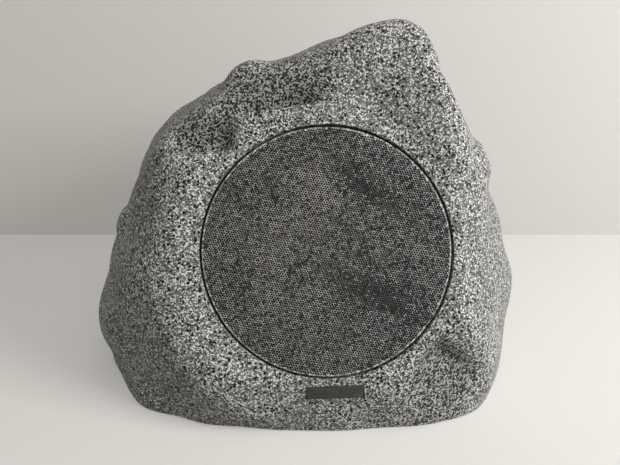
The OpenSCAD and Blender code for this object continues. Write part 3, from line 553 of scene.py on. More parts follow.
def lathe(name: str, profile: list[tuple[float, float]], sides: int, frame_of: Matrix) -> Piece:
    """Turns a closed profile about the local Z axis.

    Args:
        name: The object's name.
        profile: Points of radius and height in millimetres. The first and last may lie on the axis.
        sides: The number of steps around.
        frame_of: The place and direction of the axis.

    Returns:
        A closed mesh object.
    """
    points: list[Vector] = []
    rings: list[list[int]] = []
    for radius, height in profile:
        first, count = len(points), 1 if radius < 1e-6 else sides
        for angle in (math.tau * i / sides for i in range(count)):
            spot = (radius * math.cos(angle) * MM, radius * math.sin(angle) * MM, height * MM)
            points.append(frame_of @ Vector(spot))
        rings.append([first + i % count for i in range(sides)])
    faces: list[list[int]] = []
    on_axis = profile[0][0] < 1e-6 and profile[-1][0] < 1e-6
    pairs = list(zip(rings, rings[1:])) + ([] if on_axis else [(rings[-1], rings[0])])
    for low, high in pairs:
        for i in range(sides):
            j = (i + 1) % sides
            corner = list(dict.fromkeys([low[i], low[j], high[j], high[i]]))
            if len(corner) > 2:
                faces.append(corner)
    made = mesh_object(name, np.array([tuple(p) for p in points]), faces)
    outwards(made)
    return made


def rod(name: str, radius: float, low: float, high: float, frame_of: Matrix,
        sides: int = 64) -> Piece:
    """Makes a solid cylinder between two levels, in millimetres."""
    return lathe(name, [(0, low), (radius, low), (radius, high), (0, high)], sides, frame_of)


def prism(name: str, outline: np.ndarray, low: float, high: float) -> Piece:
    """Makes an upright solid from an outline in millimetres, between two levels."""
    count = len(outline)
    points = np.array([(x * MM, y * MM, z * MM) for z in (low, high) for x, y in outline])
    faces = [list(range(count))[::-1], list(range(count, 2 * count))]
    faces += [[i, (i + 1) % count, count + (i + 1) % count, count + i] for i in range(count)]
    return mesh_object(name, points, faces)


def block(name: str, low: Point, high: Point, frame_of: Matrix) -> Piece:
    """Makes a box between two corners in millimetres, placed by a matrix."""
    corners = [(x, y, z) for z in (low[2], high[2]) for x, y in
               ((low[0], low[1]), (high[0], low[1]), (high[0], high[1]), (low[0], high[1]))]
    points = np.array([tuple(frame_of @ (Vector(c) * MM)) for c in corners])
    faces = [[3, 2, 1, 0], [4, 5, 6, 7], [0, 1, 5, 4], [1, 2, 6, 5], [2, 3, 7, 6], [3, 0, 4, 7]]
    return mesh_object(name, points, faces)


def outwards(made: Piece) -> None:
    """Turns every face of a closed mesh outwards."""
    work = bmesh.new()
    work.from_mesh(made.data)
    bmesh.ops.recalc_face_normals(work, faces=work.faces)
    work.to_mesh(made.data)
    work.free()


def carve(target: Piece, cutters: list[Piece]) -> None:
    """Cuts each tool out of the target and removes it."""
    for cutter in cutters:
        outwards(cutter)
        cut = target.modifiers.new("cut", "BOOLEAN")
        cut.operation = "DIFFERENCE"
        cut.solver = "MANIFOLD"
        cut.object = cutter
        graph = bpy.context.evaluated_depsgraph_get()
        shaped = bpy.data.meshes.new_from_object(target.evaluated_get(graph))
        target.modifiers.clear()
        before = target.data
        target.data = shaped
        bpy.data.meshes.remove(before)
        bpy.data.objects.remove(cutter)


def smooth(made: Piece, crease: float) -> None:
    """Shades a mesh smooth, with edges sharper than crease degrees kept crisp."""
    made.data.polygons.foreach_set("use_smooth", [True] * len(made.data.polygons))
    made.data.set_sharp_from_angle(angle=math.radians(crease))
    made.data.update()


def dress(made: Piece, finish: Finishes) -> None:
    """Gives an object one finish."""
    made.data.materials.clear()
    made.data.materials.append(finish.value.material())


def settle(made: Piece, crease: float | None, finish: Finishes, node: str) -> None:
    """Shades and dresses a new piece, rides it on the speaker and lets it stand for its CAD node.

    Args:
        made: The piece.
        crease: The angle above which its edges stay crisp, in degrees. None leaves it as it is.
        finish: The piece's finish.
        node: The CAD node that it stands for.
    """
    if crease is not None:
        smooth(made, crease)
    dress(made, finish)
    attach(made, BODY)
    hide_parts(node)
    LOG.info("%s: %d faces, stands for %s", made.name, len(made.data.polygons), node)


# The rock

def toward(bearing: np.ndarray | float, lean: np.ndarray | float) -> np.ndarray:
    """Returns unit vectors from bearings and leans in degrees."""
    b, e = np.radians(bearing), np.radians(lean)
    return np.stack([np.sin(b) * np.cos(e), -np.cos(b) * np.cos(e), np.sin(e) + 0 * b], -1)


def turned(directions: np.ndarray, bearing: float, lean: float, turn: float) -> tuple[np.ndarray, np.ndarray]:
    """Measures directions from a spot on the rock.

    Args:
        directions: Unit vectors, one per row.
        bearing: The spot's bearing in degrees.
        lean: The spot's lean in degrees.
        turn: The anticlockwise turn of the measuring axes in degrees.

    Returns:
        The degrees across and up from the spot, along the turned axes.
    """
    out, side = toward(bearing, lean), toward(bearing + 90, 0.0)
    near = directions @ out
    along = np.degrees(np.arctan2(directions @ side, near))
    up = np.degrees(np.arctan2(directions @ np.cross(out, side), near))
    c, s = math.cos(math.radians(turn)), math.sin(math.radians(turn))
    return along * c + up * s, up * c - along * s


@dataclass(frozen=True)
class Bump:
    """A swelling or hollow of the rock, in degrees, with its height in millimetres."""

    bearing: float
    lean: float
    half_width: float
    above: float
    below: float
    turn: float
    crispness: float
    height: float
    far: float = 6.0

    def rise(self, directions: np.ndarray) -> np.ndarray:
        """Returns how far it lifts the surface in each direction."""
        across, rise = turned(directions, self.bearing, self.lean, self.turn)
        off = np.hypot(across / self.half_width, rise / np.where(rise > 0, self.above, self.below))
        return self.height * np.exp(-np.minimum(off, self.far) ** self.crispness)


@dataclass(frozen=True)
class Scoop:
    """A chipped hollow that deepens gently towards one crisp edge. Only its depth is in millimetres."""

    bearing: float
    lean: float
    half_width: float
    gentle: float
    steep: float
    turn: float
    depth: float
    ease: float = 1.4
    far: float = 4.0
    side_power: int = 4

    def share(self, directions: np.ndarray) -> np.ndarray:
        """Returns how much of its depth it has in each direction."""
        across, rise = turned(directions, self.bearing, self.lean, self.turn)
        slope = np.where(rise > 0, np.exp(-(np.abs(rise) / self.gentle) ** self.ease),
                         np.exp(-(rise / self.steep) ** 2))
        off = np.minimum(np.abs(across) / self.half_width, self.far)
        return slope * np.exp(-off ** self.side_power)


@dataclass
class RockForm:
    """The rock's surface as a function of direction from a point inside it, in millimetres."""

    core: Point = (0.7, -1.8, 120.0)
    ridge: float = 30.0
    size: Point = (460.0, 384.0, 348.0)
    tilt: float = 23.0
    face_x: float = 19.0
    face_z: float = 160.0
    face_back: float = 51.0
    flat_r: float = 114.0
    flat_blend: float = 20.0
    least_lean: float = 0.25
    rim_z: float = 1.0
    rim_lean: float = -80.0
    rim_tries: int = 20
    # How fast the painted shade reaches full strength as a hollow deepens
    hollow_shade_reach: float = 1.6
    faces: list[Point] = field(default_factory=lambda: [
        (0, 23, 148), (2, -1, 190), (-30, 18, 192), (32, 18, 194), (-52, 18, 202), (54, 14, 206),
        (-34, -6, 218), (-6, -28, 222), (78, 38, 215), (76, 22, 206), (72, 2, 230), (52, -8, 244),
        (36, -26, 256), (104, 0, 220), (-80, 48, 188), (-76, 24, 196), (-74, 4, 224), (-58, -8, 248),
        (-40, -24, 262), (-104, 0, 220), (-95, 67, 189), (-110, 80, 200), (150, 62, 205), (-150, 58, 198),
        (100, 62, 236), (178, 8, 184), (182, 34, 192), (138, 6, 206), (-142, 5, 204), (180, -22, 208),
        (136, -20, 230), (-138, -20, 228)])
    bumps: list[Bump] = field(default_factory=lambda: [
        Bump(57, 66, 9, 12, 10, 0, 2, 11), Bump(63, 57, 6, 6, 3, 0, 5, 5), Bump(60, 46, 4, 5, 5, 0, 2, -2),
        Bump(70, 31, 7, 4, 7, 0, 4, 8), Bump(75, -8, 9, 7, 8, 0, 3, 5.3), Bump(73, 44, 4, 5, 5, 0, 2, -4),
        Bump(70, 13, 7, 8, 6, 0, 2, -6), Bump(-70, -14, 11, 7, 8, 0, 2, 11), Bump(-46, -32, 9, 8, 8, 0, 2, 12),
        Bump(-64, -24, 8, 6, 7, 0, 2, -5), Bump(-68, 14, 4, 3, 5, 0, 4, 4), Bump(48, -30, 8, 7, 8, 0, 2, 7),
        Bump(34, -31, 8, 7, 8, 0, 2, -4), Bump(-62, 47, 8, 8, 8, 0, 2, 4), Bump(-52, 68, 6, 6, 6, 0, 3, 8),
        Bump(42, -7, 8, 4, 4, -30, 2, 4), Bump(38, 54, 6, 12, 12, 10, 2, -8), Bump(52, 44, 6, 13, 13, 0, 2, 6),
        Bump(150, 30, 14, 14, 14, 0, 2, -7), Bump(-160, 20, 12, 12, 12, 0, 2, -6),
        Bump(-120, 35, 12, 12, 12, 0, 2, 6), Bump(125, -5, 12, 12, 12, 0, 2, 6),
        Bump(175, 55, 12, 12, 12, 0, 2, 5)])
    scoops: list[Scoop] = field(default_factory=lambda: [
        Scoop(-18, 60.5, 13, 8, 2, 20, 21), Scoop(-41, 43, 8, 8, 2, 35, 15),
        Scoop(39, -16, 9, 10, 3.5, 140, 16)])
    waves: list[tuple[float, float, float, float, float]] = field(default_factory=lambda: [
        (2.6, 1.4, 2.1, 40, 1.5), (-3.1, 3.6, 2.4, 110, 1.2), (5.2, -4.1, 5.8, 200, 0.6)])

    @property
    def face_normal(self) -> np.ndarray:
        """The front face's outward direction."""
        return toward(0.0, self.tilt)

    @property
    def face_centre(self) -> np.ndarray:
        """The centre of the grille on the front face."""
        return np.array([self.face_x, self.face_back - self.size[1] / 2, self.face_z])

    @property
    def face_frame(self) -> Matrix:
        """The frame of the front face: +Z points out of it and +Y up along it."""
        return frame_at(Vector(self.face_centre * MM), (90 - self.tilt, "X"))

    def points(self, directions: np.ndarray, inset: float = 0.0) -> np.ndarray:
        """Returns the surface points in the given unit directions.

        Args:
            directions: Unit vectors from the core, one per row.
            inset: How far the surface is moved inwards.

        Returns:
            Points in millimetres, one per row.
        """
        core = np.array(self.core)
        pull = np.zeros(len(directions))
        for bearing, lean, distance in self.faces:
            reach = np.clip(directions @ toward(bearing, lean), 0, None) / (distance - inset)
            pull += reach ** self.ridge
        r = pull ** (-1 / self.ridge)
        for bump in self.bumps:
            r = r + bump.rise(directions)
        for scoop in self.scoops:
            r = r - scoop.depth * scoop.share(directions)
        rough = core + directions * r[:, None]
        for kx, ky, kz, phase, height in self.waves:
            r = r + height * np.sin(np.radians(rough @ np.array([kx, ky, kz]) + phase))
        return self._faced(directions, r, inset)

    def hollow(self, points: np.ndarray) -> np.ndarray:
        """Returns how deep in a chipped hollow each point lies, from 0 to 1, which sets the painted shade
        there.
        """
        ray = points - np.array(self.core)
        ray /= np.linalg.norm(ray, axis=1)[:, None]
        depth = sum(scoop.share(ray) for scoop in self.scoops)
        return np.clip(self.hollow_shade_reach * depth, 0.0, 1.0)

    def _faced(self, directions: np.ndarray, r: np.ndarray, inset: float) -> np.ndarray:
        """Returns the points with those near the grille brought onto the flat front face."""
        core = np.array(self.core)
        reach = float((self.face_centre - core) @ self.face_normal)
        lean = np.clip(directions @ self.face_normal, self.least_lean, None)
        off = np.linalg.norm(core + directions * (reach / lean)[:, None] - self.face_centre, axis=1)
        step = np.clip((off - self.flat_r) / self.flat_blend, 0, 1)
        share = np.where(lean > self.least_lean, 1 - step * step * (3 - 2 * step), 0)
        r = r + ((reach - inset) / lean - r) * share
        return core + directions * r[:, None]

    def rim_outline(self, inset: float, count: int = 168) -> np.ndarray:
        """Returns the outline at the rim, moved inwards.

        Args:
            inset: How far the outline is moved inwards.
            count: The number of points.

        Returns:
            Points in millimetres in the ground plane, one per row.
        """
        bearing = np.arange(count) * 360 / count
        low, high = np.full(count, self.rim_lean), np.zeros(count)
        for _ in range(self.rim_tries):
            middle = (low + high) / 2
            below = self.points(toward(bearing, middle))[:, 2] < self.rim_z
            low, high = np.where(below, middle, low), np.where(below, high, middle)
        ring = self.points(toward(bearing, (low + high) / 2))[:, :2]
        return ring * (1 - inset / np.linalg.norm(ring, axis=1))[:, None]


@dataclass
class RockShell:
    """The moulded rock: its skin, wall, recess, ledge, base flange, gland flat and badge pocket."""

    form: RockForm
    wall: float = 5.0
    recess_r: float = 110.8
    recess_depth: float = 20.0
    lip_r: float = 1.2
    ledge_t: float = 4.0
    ledge_r: float = 116.8
    driver_hole_r: float = 92.5
    rim_t: float = 5.0
    flange_w: float = 16.0
    flange_z: float = 10.0
    cavity_z: float = 14.0
    gland_at: Point = (-70.0, 168.0, 60.0)
    gland_recess_r: float = 22.0
    gland_hole_r: float = 6.15
    gland_wall: float = 5.0
    badge_at: Point = (27.0, -186.0, 46.0)
    badge_turn: float = 3.0
    pocket: tuple[float, float] = (51.0, 13.5)
    skin_level: int = 7
    skin_inset: float = 0.3
    lining_level: int = 6
    fine_spots: tuple[Point, ...] = ((-30.0, 54.0, 27.0), (44.0, -14.0, 15.0), (56.0, 60.0, 16.0),
                                      (-62.0, -22.0, 14.0))
    far: float = 400.0

    def _blank(self, name: str, level: int, inset: float,
               fine_spots: tuple[Point, ...] = ()) -> Piece:
        """Makes the whole rock form over a net of triangles.

        Args:
            name: The object's name.
            level: The fineness of the net.
            inset: How far the surface is moved inwards, in millimetres.
            fine_spots: Bearing, lean and spread in degrees of the spots with a finer net.

        Returns:
            A closed mesh object.
        """
        work = bmesh.new()
        bmesh.ops.create_icosphere(work, subdivisions=level, radius=1.0)
        spots = [(Vector(toward(b, e)), math.cos(math.radians(spread))) for b, e, spread in fine_spots]
        inside = {v for v in work.verts if any(v.co.normalized().dot(out) > least for out, least in spots)}
        edges = [e for e in work.edges if e.verts[0] in inside and e.verts[1] in inside]
        if edges:
            bmesh.ops.subdivide_edges(work, edges=edges, cuts=1, use_grid_fill=True)
            bmesh.ops.triangulate(work, faces=[f for f in work.faces if len(f.verts) > 3])
        directions = np.array([v.co[:] for v in work.verts])
        directions /= np.linalg.norm(directions, axis=1)[:, None]
        faces = [[v.index for v in f.verts] for f in work.faces]
        work.free()
        return mesh_object(name, self.form.points(directions, inset) * MM, faces)

    @property
    def gland_frame(self) -> Matrix:
        """The gland's frame: +Z points out of the rock, to the rear."""
        return frame_at(Vector(self.gland_at) * MM, (-90, "X"))

    @property
    def badge_frame(self) -> Matrix:
        """The badge's frame: +Z points out of the front and +Y up."""
        return frame_at(Vector(self.badge_at) * MM, (90, "X"), (self.badge_turn, "Z"))

    def _below(self, level: float) -> Piece:
        """Makes a tool that removes all below a level."""
        return block("below", (-self.far, -self.far, -self.far), (self.far, self.far, level), Matrix())

    def _cavity(self) -> Piece:
        """Makes the hollow inside the rock, less the ledge's ring and the gland's boss."""
        made = self._blank("cavity", self.lining_level, self.wall)
        front = self.form.face_frame
        carve(made, [
            self._below(self.cavity_z),
            rod("ring", self.ledge_r, -self.recess_depth - self.ledge_t, 40.0, front, 128),
            rod("boss", self.gland_recess_r + self.wall, -self.gland_wall, 60.0, self.gland_frame)])
        return made

    def _recess(self) -> Piece:
        """Makes the grille's recess with a rolled lip at the front face."""
        lip = [(self.recess_r + self.lip_r * (1 - c), -self.lip_r * (1 - s)) for c, s in arc(0, 90, 3)]
        top = lip[-1][0]
        profile = [(0, -self.recess_depth), (self.recess_r, -self.recess_depth), *lip, (top, 40), (0, 40)]
        return lathe("recess", profile, 256, self.form.face_frame)

    def _mark_hollow_shade(self, made: Piece) -> None:
        """Keeps on each point how deep it lies in a hollow, for the painted shade of the hollows."""
        flat = np.zeros(3 * len(made.data.vertices))
        made.data.vertices.foreach_get("co", flat)
        mark = made.data.attributes.new(HOLLOW_SHADE, "FLOAT", "POINT")
        mark.data.foreach_set("value", self.form.hollow(flat.reshape(-1, 3) / MM))

    def build(self) -> Piece:
        """Cuts the finished rock out of its blank."""
        made = self._blank("rock_skin", self.skin_level, self.skin_inset, self.fine_spots)
        width, height = self.pocket
        carve(made, [
            self._below(self.form.rim_z),
            self._cavity(),
            prism("opening", self.form.rim_outline(self.rim_t + self.flange_w), -5.0, self.cavity_z + 1.0),
            prism("rebate", self.form.rim_outline(self.rim_t), -5.0, self.flange_z),
            self._recess(),
            rod("driver_hole", self.driver_hole_r, -self.recess_depth - self.ledge_t - 1, 1 - self.recess_depth,
                self.form.face_frame, 128),
            rod("gland_flat", self.gland_recess_r, 0.0, 40.0, self.gland_frame, 96),
            rod("gland_hole", self.gland_hole_r, -self.gland_wall - 1, 1.0, self.gland_frame, 48),
            block("pocket", (-width / 2, -height / 2, 0), (width / 2, height / 2, 20), self.badge_frame)])
        self._mark_hollow_shade(made)
        settle(made, 38.0, Finishes.STONE, "rock_shell")
        return made


# The badge and the grille

@dataclass
class Badge:
    """The bare plate in its pocket, with rounded corners and edges."""

    frame_of: Matrix
    width: float = 50.0
    height: float = 12.5
    thick: float = 1.6
    corner: float = 1.0
    edge: float = 0.35
    corner_steps: int = 6

    def _ring(self, inset: float, level: float) -> list[Vector]:
        """Returns one outline of the plate, moved inwards, at a level."""
        radius = max(self.corner - inset, 0.1)
        x, y = self.width / 2 - self.corner, self.height / 2 - self.corner
        return [Vector((sx * x + radius * c, sy * y + radius * s, level))
                for quarter, (sx, sy) in enumerate(((1, 1), (-1, 1), (-1, -1), (1, -1)))
                for c, s in arc(90 * quarter, 90 * quarter + 90, self.corner_steps)]

    def build(self) -> Piece:
        """Lofts the plate from its outlines."""
        bevel = self.edge * 0.3
        levels = [(0.0, 0.0), (0.0, self.thick - self.edge), (bevel, self.thick - bevel),
                  (self.edge, self.thick)]
        rings = [self._ring(inset, level) for inset, level in levels]
        count = len(rings[0])
        points = np.array([tuple(self.frame_of @ (p * MM)) for ring in rings for p in ring])
        last = (len(rings) - 1) * count
        faces: list[list[int]] = [list(range(count))[::-1], list(range(last, last + count))]
        for k in range(len(rings) - 1):
            for i in range(count):
                j = (i + 1) % count
                faces.append([k * count + i, k * count + j, (k + 1) * count + j, (k + 1) * count + i])
        made = mesh_object("badge", points, faces)
        settle(made, 50.0, Finishes.BADGE, "badge_plate")
        return made


@dataclass
class Grille:
    """The perforated sheet: staggered holes in a hexagonal net, inside a folded rim."""

    frame_of: Matrix
    radius: float = 108.5
    sheet: float = 0.8
    rim_h: float = 7.0
    fold_r: float = 0.8
    pitch: float = 2.22
    hole: float = 1.07
    holes_r: float = 107.0
    net_r: float = 107.7
    lap: float = 0.5
    proud: float = 0.02
    turn: float = -9.1

    def _cells(self) -> dict[tuple[int, int], tuple[float, float, bool]]:
        """Returns each cell of the net with its centre, and whether it holds a hole."""
        reach = int(self.radius / self.pitch * 1.3) + 2
        cells = {}
        for row in range(-reach, reach + 1):
            for column in range(-reach, reach + 1):
                x = (column + row / 2) * self.pitch
                y = row * self.pitch * math.sqrt(3) / 2
                far = math.hypot(x, y)
                if far <= self.holes_r + self.pitch:
                    cells[column, row] = (x, y, far <= self.holes_r)
        return cells

    def _net(self) -> Piece:
        """Makes the sheet between and inside the holes."""
        cells = self._cells()
        first = {key: 12 * number for number, key in enumerate(cells)}
        hexagon = [(c * self.hole, s * self.hole) for c, s in arc(30, 330, 5)]
        spot = np.zeros((12 * len(cells), 3))
        for key, (x, y, _) in cells.items():
            for k, (dx, dy) in enumerate(hexagon):
                spot[first[key] + k] = (x + dx, y + dy, 0.0)
                spot[first[key] + 6 + k] = (x + dx, y + dy, -self.sheet)
        far = np.hypot(spot[:, 0], spot[:, 1])
        spot[:, :2] *= np.minimum(1.0, self.net_r / np.maximum(far, 1e-6))[:, None]
        faces = []
        for (column, row), (_, _, open_cell) in cells.items():
            own = first[column, row]
            east, north, west = (column + 1, row), (column, row + 1), (column - 1, row + 1)
            south = (column + 1, row - 1)
            for m, other in enumerate((east, north, west)):
                if other in cells and (open_cell or cells[other][2]):
                    there = first[other]
                    faces.append([own + (m - 1) % 6, there + (m + 3) % 6, there + (m + 2) % 6, own + m])
            if east in cells and north in cells:
                faces.append([own, first[east] + 2, first[north] + 4])
            if east in cells and south in cells:
                faces.append([own + 5, first[south] + 1, first[east] + 3])
            if open_cell:
                faces += [[own + k, own + (k + 1) % 6, own + 6 + (k + 1) % 6, own + 6 + k] for k in range(6)]
            else:
                faces.append([own + k for k in range(6)])
        place = np.array(self.frame_of @ frame_at(Vector(), (self.turn, "Z")))
        points = spot * MM @ place[:3, :3].T + place[:3, 3]
        return mesh_object("grille", points, faces)

    def _rim(self) -> Piece:
        """Makes the folded rim around the net."""
        outer = [(self.radius - self.fold_r * (1 - s), -self.fold_r * (1 - c)) for c, s in arc(0, 90, 6)]
        inner, edge = self.radius - self.sheet, self.net_r - self.lap
        profile = [(edge, self.proud), (self.radius - self.fold_r - 0.2, self.proud), *outer,
                   (self.radius, -self.rim_h), (inner, -self.rim_h), (inner, -self.sheet),
                   (edge, -self.sheet)]
        return lathe("rim", profile, 256, self.frame_of)

    def build(self) -> Piece:
        """Joins net and rim into one sheet."""
        made, rim = self._net(), self._rim()
        smooth(rim, 40.0)
        with bpy.context.temp_override(active_object=made, selected_editable_objects=[made, rim]):
            bpy.ops.object.join()
        settle(made, None, Finishes.GRILLE, "grille_mesh")
        return made


# The other sub-assemblies

class SubAssembly:
    """What the sub-assemblies with CAD solids of their own share."""

    def keep(self, finishes: dict[str, Finishes]) -> None:
        """Dresses CAD nodes that keep their solids.

        Args:
            finishes: The finish of each node, by its name.
        """
        for node, finish in finishes.items():
            dress(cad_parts[node], finish)
            LOG.info("%s: %s keeps its solid, in %s", type(self).__name__, node, finish.value.name)


@dataclass
class GrilleBacking(SubAssembly):
    """The dust cloth and the carrier ring behind the perforated sheet."""

    frame_of: Matrix
    cloth_r: float = 107.5
    cloth_t: float = 0.4
    sheet: float = 0.8
    ring_w: float = 2.8
    lip_r: float = 110.5
    lip_top: float = -7.3
    lip_t: float = 3.0
    bevel: float = 0.3
    foot_z: float = -20.0

    def _cloth(self) -> None:
        """Makes the dust cloth against the sheet's back."""
        made = rod("dust_cloth", self.cloth_r, -self.sheet - self.cloth_t, -self.sheet, self.frame_of, 128)
        settle(made, 40.0, Finishes.DUST_CLOTH, "grille_scrim")

    def _carrier(self) -> None:
        """Makes the ring with the lip that holds the sheet's folded rim."""
        top, inner = -self.sheet - self.cloth_t, self.cloth_r - self.ring_w
        low = self.lip_top - self.lip_t
        made = lathe("carrier", [
            (inner, top), (self.cloth_r, top), (self.cloth_r, self.lip_top),
            (self.lip_r - self.bevel, self.lip_top), (self.lip_r, self.lip_top - self.bevel),
            (self.lip_r, low), (self.cloth_r, low), (self.cloth_r, self.foot_z), (inner, self.foot_z)],
            192, self.frame_of)
        settle(made, 30.0, Finishes.BLACK_PLASTIC, "grille_ring")

    def build(self) -> None:
        """Makes both pieces."""
        self._cloth()
        self._carrier()


@dataclass
class Driver(SubAssembly):
    """The woofer with the tweeter on its post."""

    frame_of: Matrix
    flange_z: float = -15.0
    roll_out_r: float = 94.5
    roll_h: float = 7.0
    roll_t: float = 1.0
    roll_rim: float = 4.0
    glue_w: float = 5.0
    cone_r: float = 80.0
    cone_t: float = 1.0
    cone_low: float = -46.5
    neck_r: float = 19.5
    bend: float = 24.0
    rim_w: float = 6.0
    sides: int = 160

    def _surround(self) -> None:
        """Makes the half-round roll between cone and basket."""
        low, thick = self.flange_z, self.roll_t
        middle = (self.cone_r + self.roll_out_r - self.roll_rim) / 2
        radius, height = middle - self.cone_r, self.roll_h - thick
        half = arc(0, 180, 20)
        over = [(middle - radius * c, low + thick + height * s) for c, s in half]
        under = [(middle + (radius - thick) * c, low + height * s) for c, s in half]
        inner = self.cone_r - self.glue_w
        made = lathe("roll", [(inner, low), (inner, low + thick), *over, (self.roll_out_r, low + thick),
                              (self.roll_out_r, low), *under], self.sides, self.frame_of)
        settle(made, 35.0, Finishes.SURROUND, "woofer_surround")

    def _cone(self) -> None:
        """Makes the pressed cone with its bend half-way."""
        bend_r, thick, rim = self.neck_r + self.bend, self.cone_t, self.cone_r - self.rim_w
        bend_z = (self.cone_low + self.flange_z) / 2
        made = lathe("cone", [
            (self.neck_r, self.cone_low), (self.neck_r, self.cone_low + 2 * thick), (bend_r, bend_z + thick),
            (rim, self.flange_z), (self.cone_r - 1, self.flange_z), (self.cone_r - 1, self.flange_z - thick),
            (rim + 1, self.flange_z - thick), (bend_r + 1, bend_z), (self.neck_r + 1.5, self.cone_low)],
            self.sides, self.frame_of)
        settle(made, 20.0, Finishes.CONE, "woofer_cone")

    def build(self) -> None:
        """Makes the moving parts that show and dresses the rest."""
        self._surround()
        self._cone()
        self.keep({
            "woofer_gasket": Finishes.SEAL, "woofer_basket": Finishes.BASKET, "woofer_screws": Finishes.SCREWS,
            "woofer_spider": Finishes.SPIDER, "coil_former": Finishes.FORMER, "coil_winding": Finishes.COPPER,
            "top_plate": Finishes.PLATED, "ferrite_magnet": Finishes.FERRITE, "pole_yoke": Finishes.PLATED,
            "basket_terminals": Finishes.TAG_BOARD, "tweeter_post": Finishes.PLATED,
            "tweeter_housing": Finishes.BLACK_PLASTIC, "tweeter_dome": Finishes.DOME,
            "tweeter_cap": Finishes.BLACK_PLASTIC})


@dataclass
class Crossover(SubAssembly):
    """The crossover on its board, with its leads."""

    coil_at: Point = (-100.0, 74.0, 21.6)
    coil_r: float = 15.5
    core_r: float = 8.5
    coil_low: float = 1.5
    wire_r: float = 0.5
    turns: int = 15

    def _winding(self) -> None:
        """Makes the inductor's winding, turn on turn."""
        high = self.coil_low + 2 * self.wire_r * self.turns
        wires = [(self.coil_r - self.wire_r * (1 - c), self.coil_low + self.wire_r * (2 * turn + 1 + s))
                 for turn in range(self.turns) for c, s in arc(-70, 70, 4)]
        made = lathe("winding", [
            (self.core_r, self.coil_low), (wires[0][0], self.coil_low), *wires, (wires[-1][0], high),
            (self.core_r, high)], 72, frame_at(Vector(self.coil_at) * MM))
        settle(made, 60.0, Finishes.COPPER, "inductor_winding")

    def build(self) -> None:
        """Makes the winding and dresses the rest."""
        self._winding()
        self.keep({
            "crossover_board": Finishes.BOARD, "board_screws": Finishes.SCREWS,
            "crossover_capacitor": Finishes.CAPACITOR, "inductor_bobbin": Finishes.BOBBIN,
            "crossover_resistor": Finishes.RESISTOR, "terminal_block": Finishes.BLOCK,
            "woofer_leads": Finishes.RED_LEAD, "tweeter_leads": Finishes.BLACK_LEAD})


@dataclass
class Base(SubAssembly):
    """The base plate with its seal and screws, on four rubber feet."""

    foot_r: float = 14.0
    foot_t: float = 4.0
    stem_r: float = 3.0
    stem_top: float = 7.5
    edge: float = 1.0
    groove: float = 0.5
    mouth_half: float = 0.6
    floor_half: float = 0.4
    groove_rs: Point = (4.0, 7.0, 10.0)
    feet: dict[str, tuple[float, float]] = field(default_factory=lambda: {
        "front_left": (-135.78, -107.9), "front_right": (141.65, -111.65),
        "rear_left": (-109.37, 97.6), "rear_right": (113.07, 99.98)})

    def _foot(self, corner: str) -> None:
        """Makes one foot with grooves in its sole."""
        cut = ((-self.mouth_half, 0.0), (-self.floor_half, self.groove),
               (self.floor_half, self.groove), (self.mouth_half, 0.0))
        grooves = [(r + side, level) for r in self.groove_rs for side, level in cut]
        roll = [(self.foot_r - self.edge * (1 - s), self.edge * (1 - c)) for c, s in arc(0, 90, 5)]
        x, y = self.feet[corner]
        made = lathe(f"{corner}_rubber", [
            (0.0, 0.0), *grooves, *roll, (self.foot_r, self.foot_t), (self.stem_r, self.foot_t),
            (self.stem_r, self.stem_top), (0.0, self.stem_top)],
            64, frame_at(Vector((x, y, 0.0)) * MM))
        settle(made, 35.0, Finishes.FOOT, f"{corner}_foot")

    def build(self) -> None:
        """Makes the feet and dresses the rest."""
        for corner in self.feet:
            self._foot(corner)
        self.keep({"base_plate": Finishes.BASE_PLASTIC, "base_gasket": Finishes.SEAL,
                   "base_screws": Finishes.SCREWS})


@dataclass
class Gland(SubAssembly):
    """The cable gland in the rear wall."""

    frame_of: Matrix
    nut_r: float = 8.6
    nut_low: float = 6.5
    nut_top: float = 20.5
    chamfer: float = 0.4
    dome_h: float = 4.0
    dome: tuple[tuple[float, float], ...] = ((0.0, 0.0), (0.5, 0.8), (0.8, 1.8), (1.5, 3.0), (2.8, 4.0))
    thread_r: float = 6.15
    mouth_r: float = 4.0
    cap_t: float = 2.0
    rib_depth: float = 0.35
    rib_steps: int = 4
    sides: int = 96

    def _nut(self) -> None:
        """Makes the nut, with a domed cap and ribs for the fingers."""
        low, top, shoulder = self.nut_low, self.nut_top, self.nut_top - self.dome_h
        made = lathe("dome_nut", [
            (self.thread_r, low), (self.nut_r - self.chamfer, low), (self.nut_r, low + self.chamfer),
            *[(self.nut_r - inset, shoulder + rise) for inset, rise in self.dome], (self.mouth_r, top),
            (self.mouth_r, top - self.cap_t), (self.thread_r, top - self.cap_t)], self.sides, self.frame_of)
        back = self.frame_of.inverted()
        for number, corner in enumerate(made.data.vertices):
            local = back @ corner.co
            if local.xy.length > (self.nut_r - 0.01) * MM and number % self.rib_steps >= self.rib_steps / 2:
                local.xy *= 1 - self.rib_depth / self.nut_r
                corner.co = self.frame_of @ local
        settle(made, 30.0, Finishes.BLACK_PLASTIC, "gland_nut")

    def build(self) -> None:
        """Makes the nut and dresses the rest."""
        self._nut()
        self.keep({"gland_body": Finishes.BLACK_PLASTIC, "gland_lock_nut": Finishes.BLACK_PLASTIC,
                   "gland_washer": Finishes.SEAL, "gland_seal": Finishes.SEAL})


# The stage

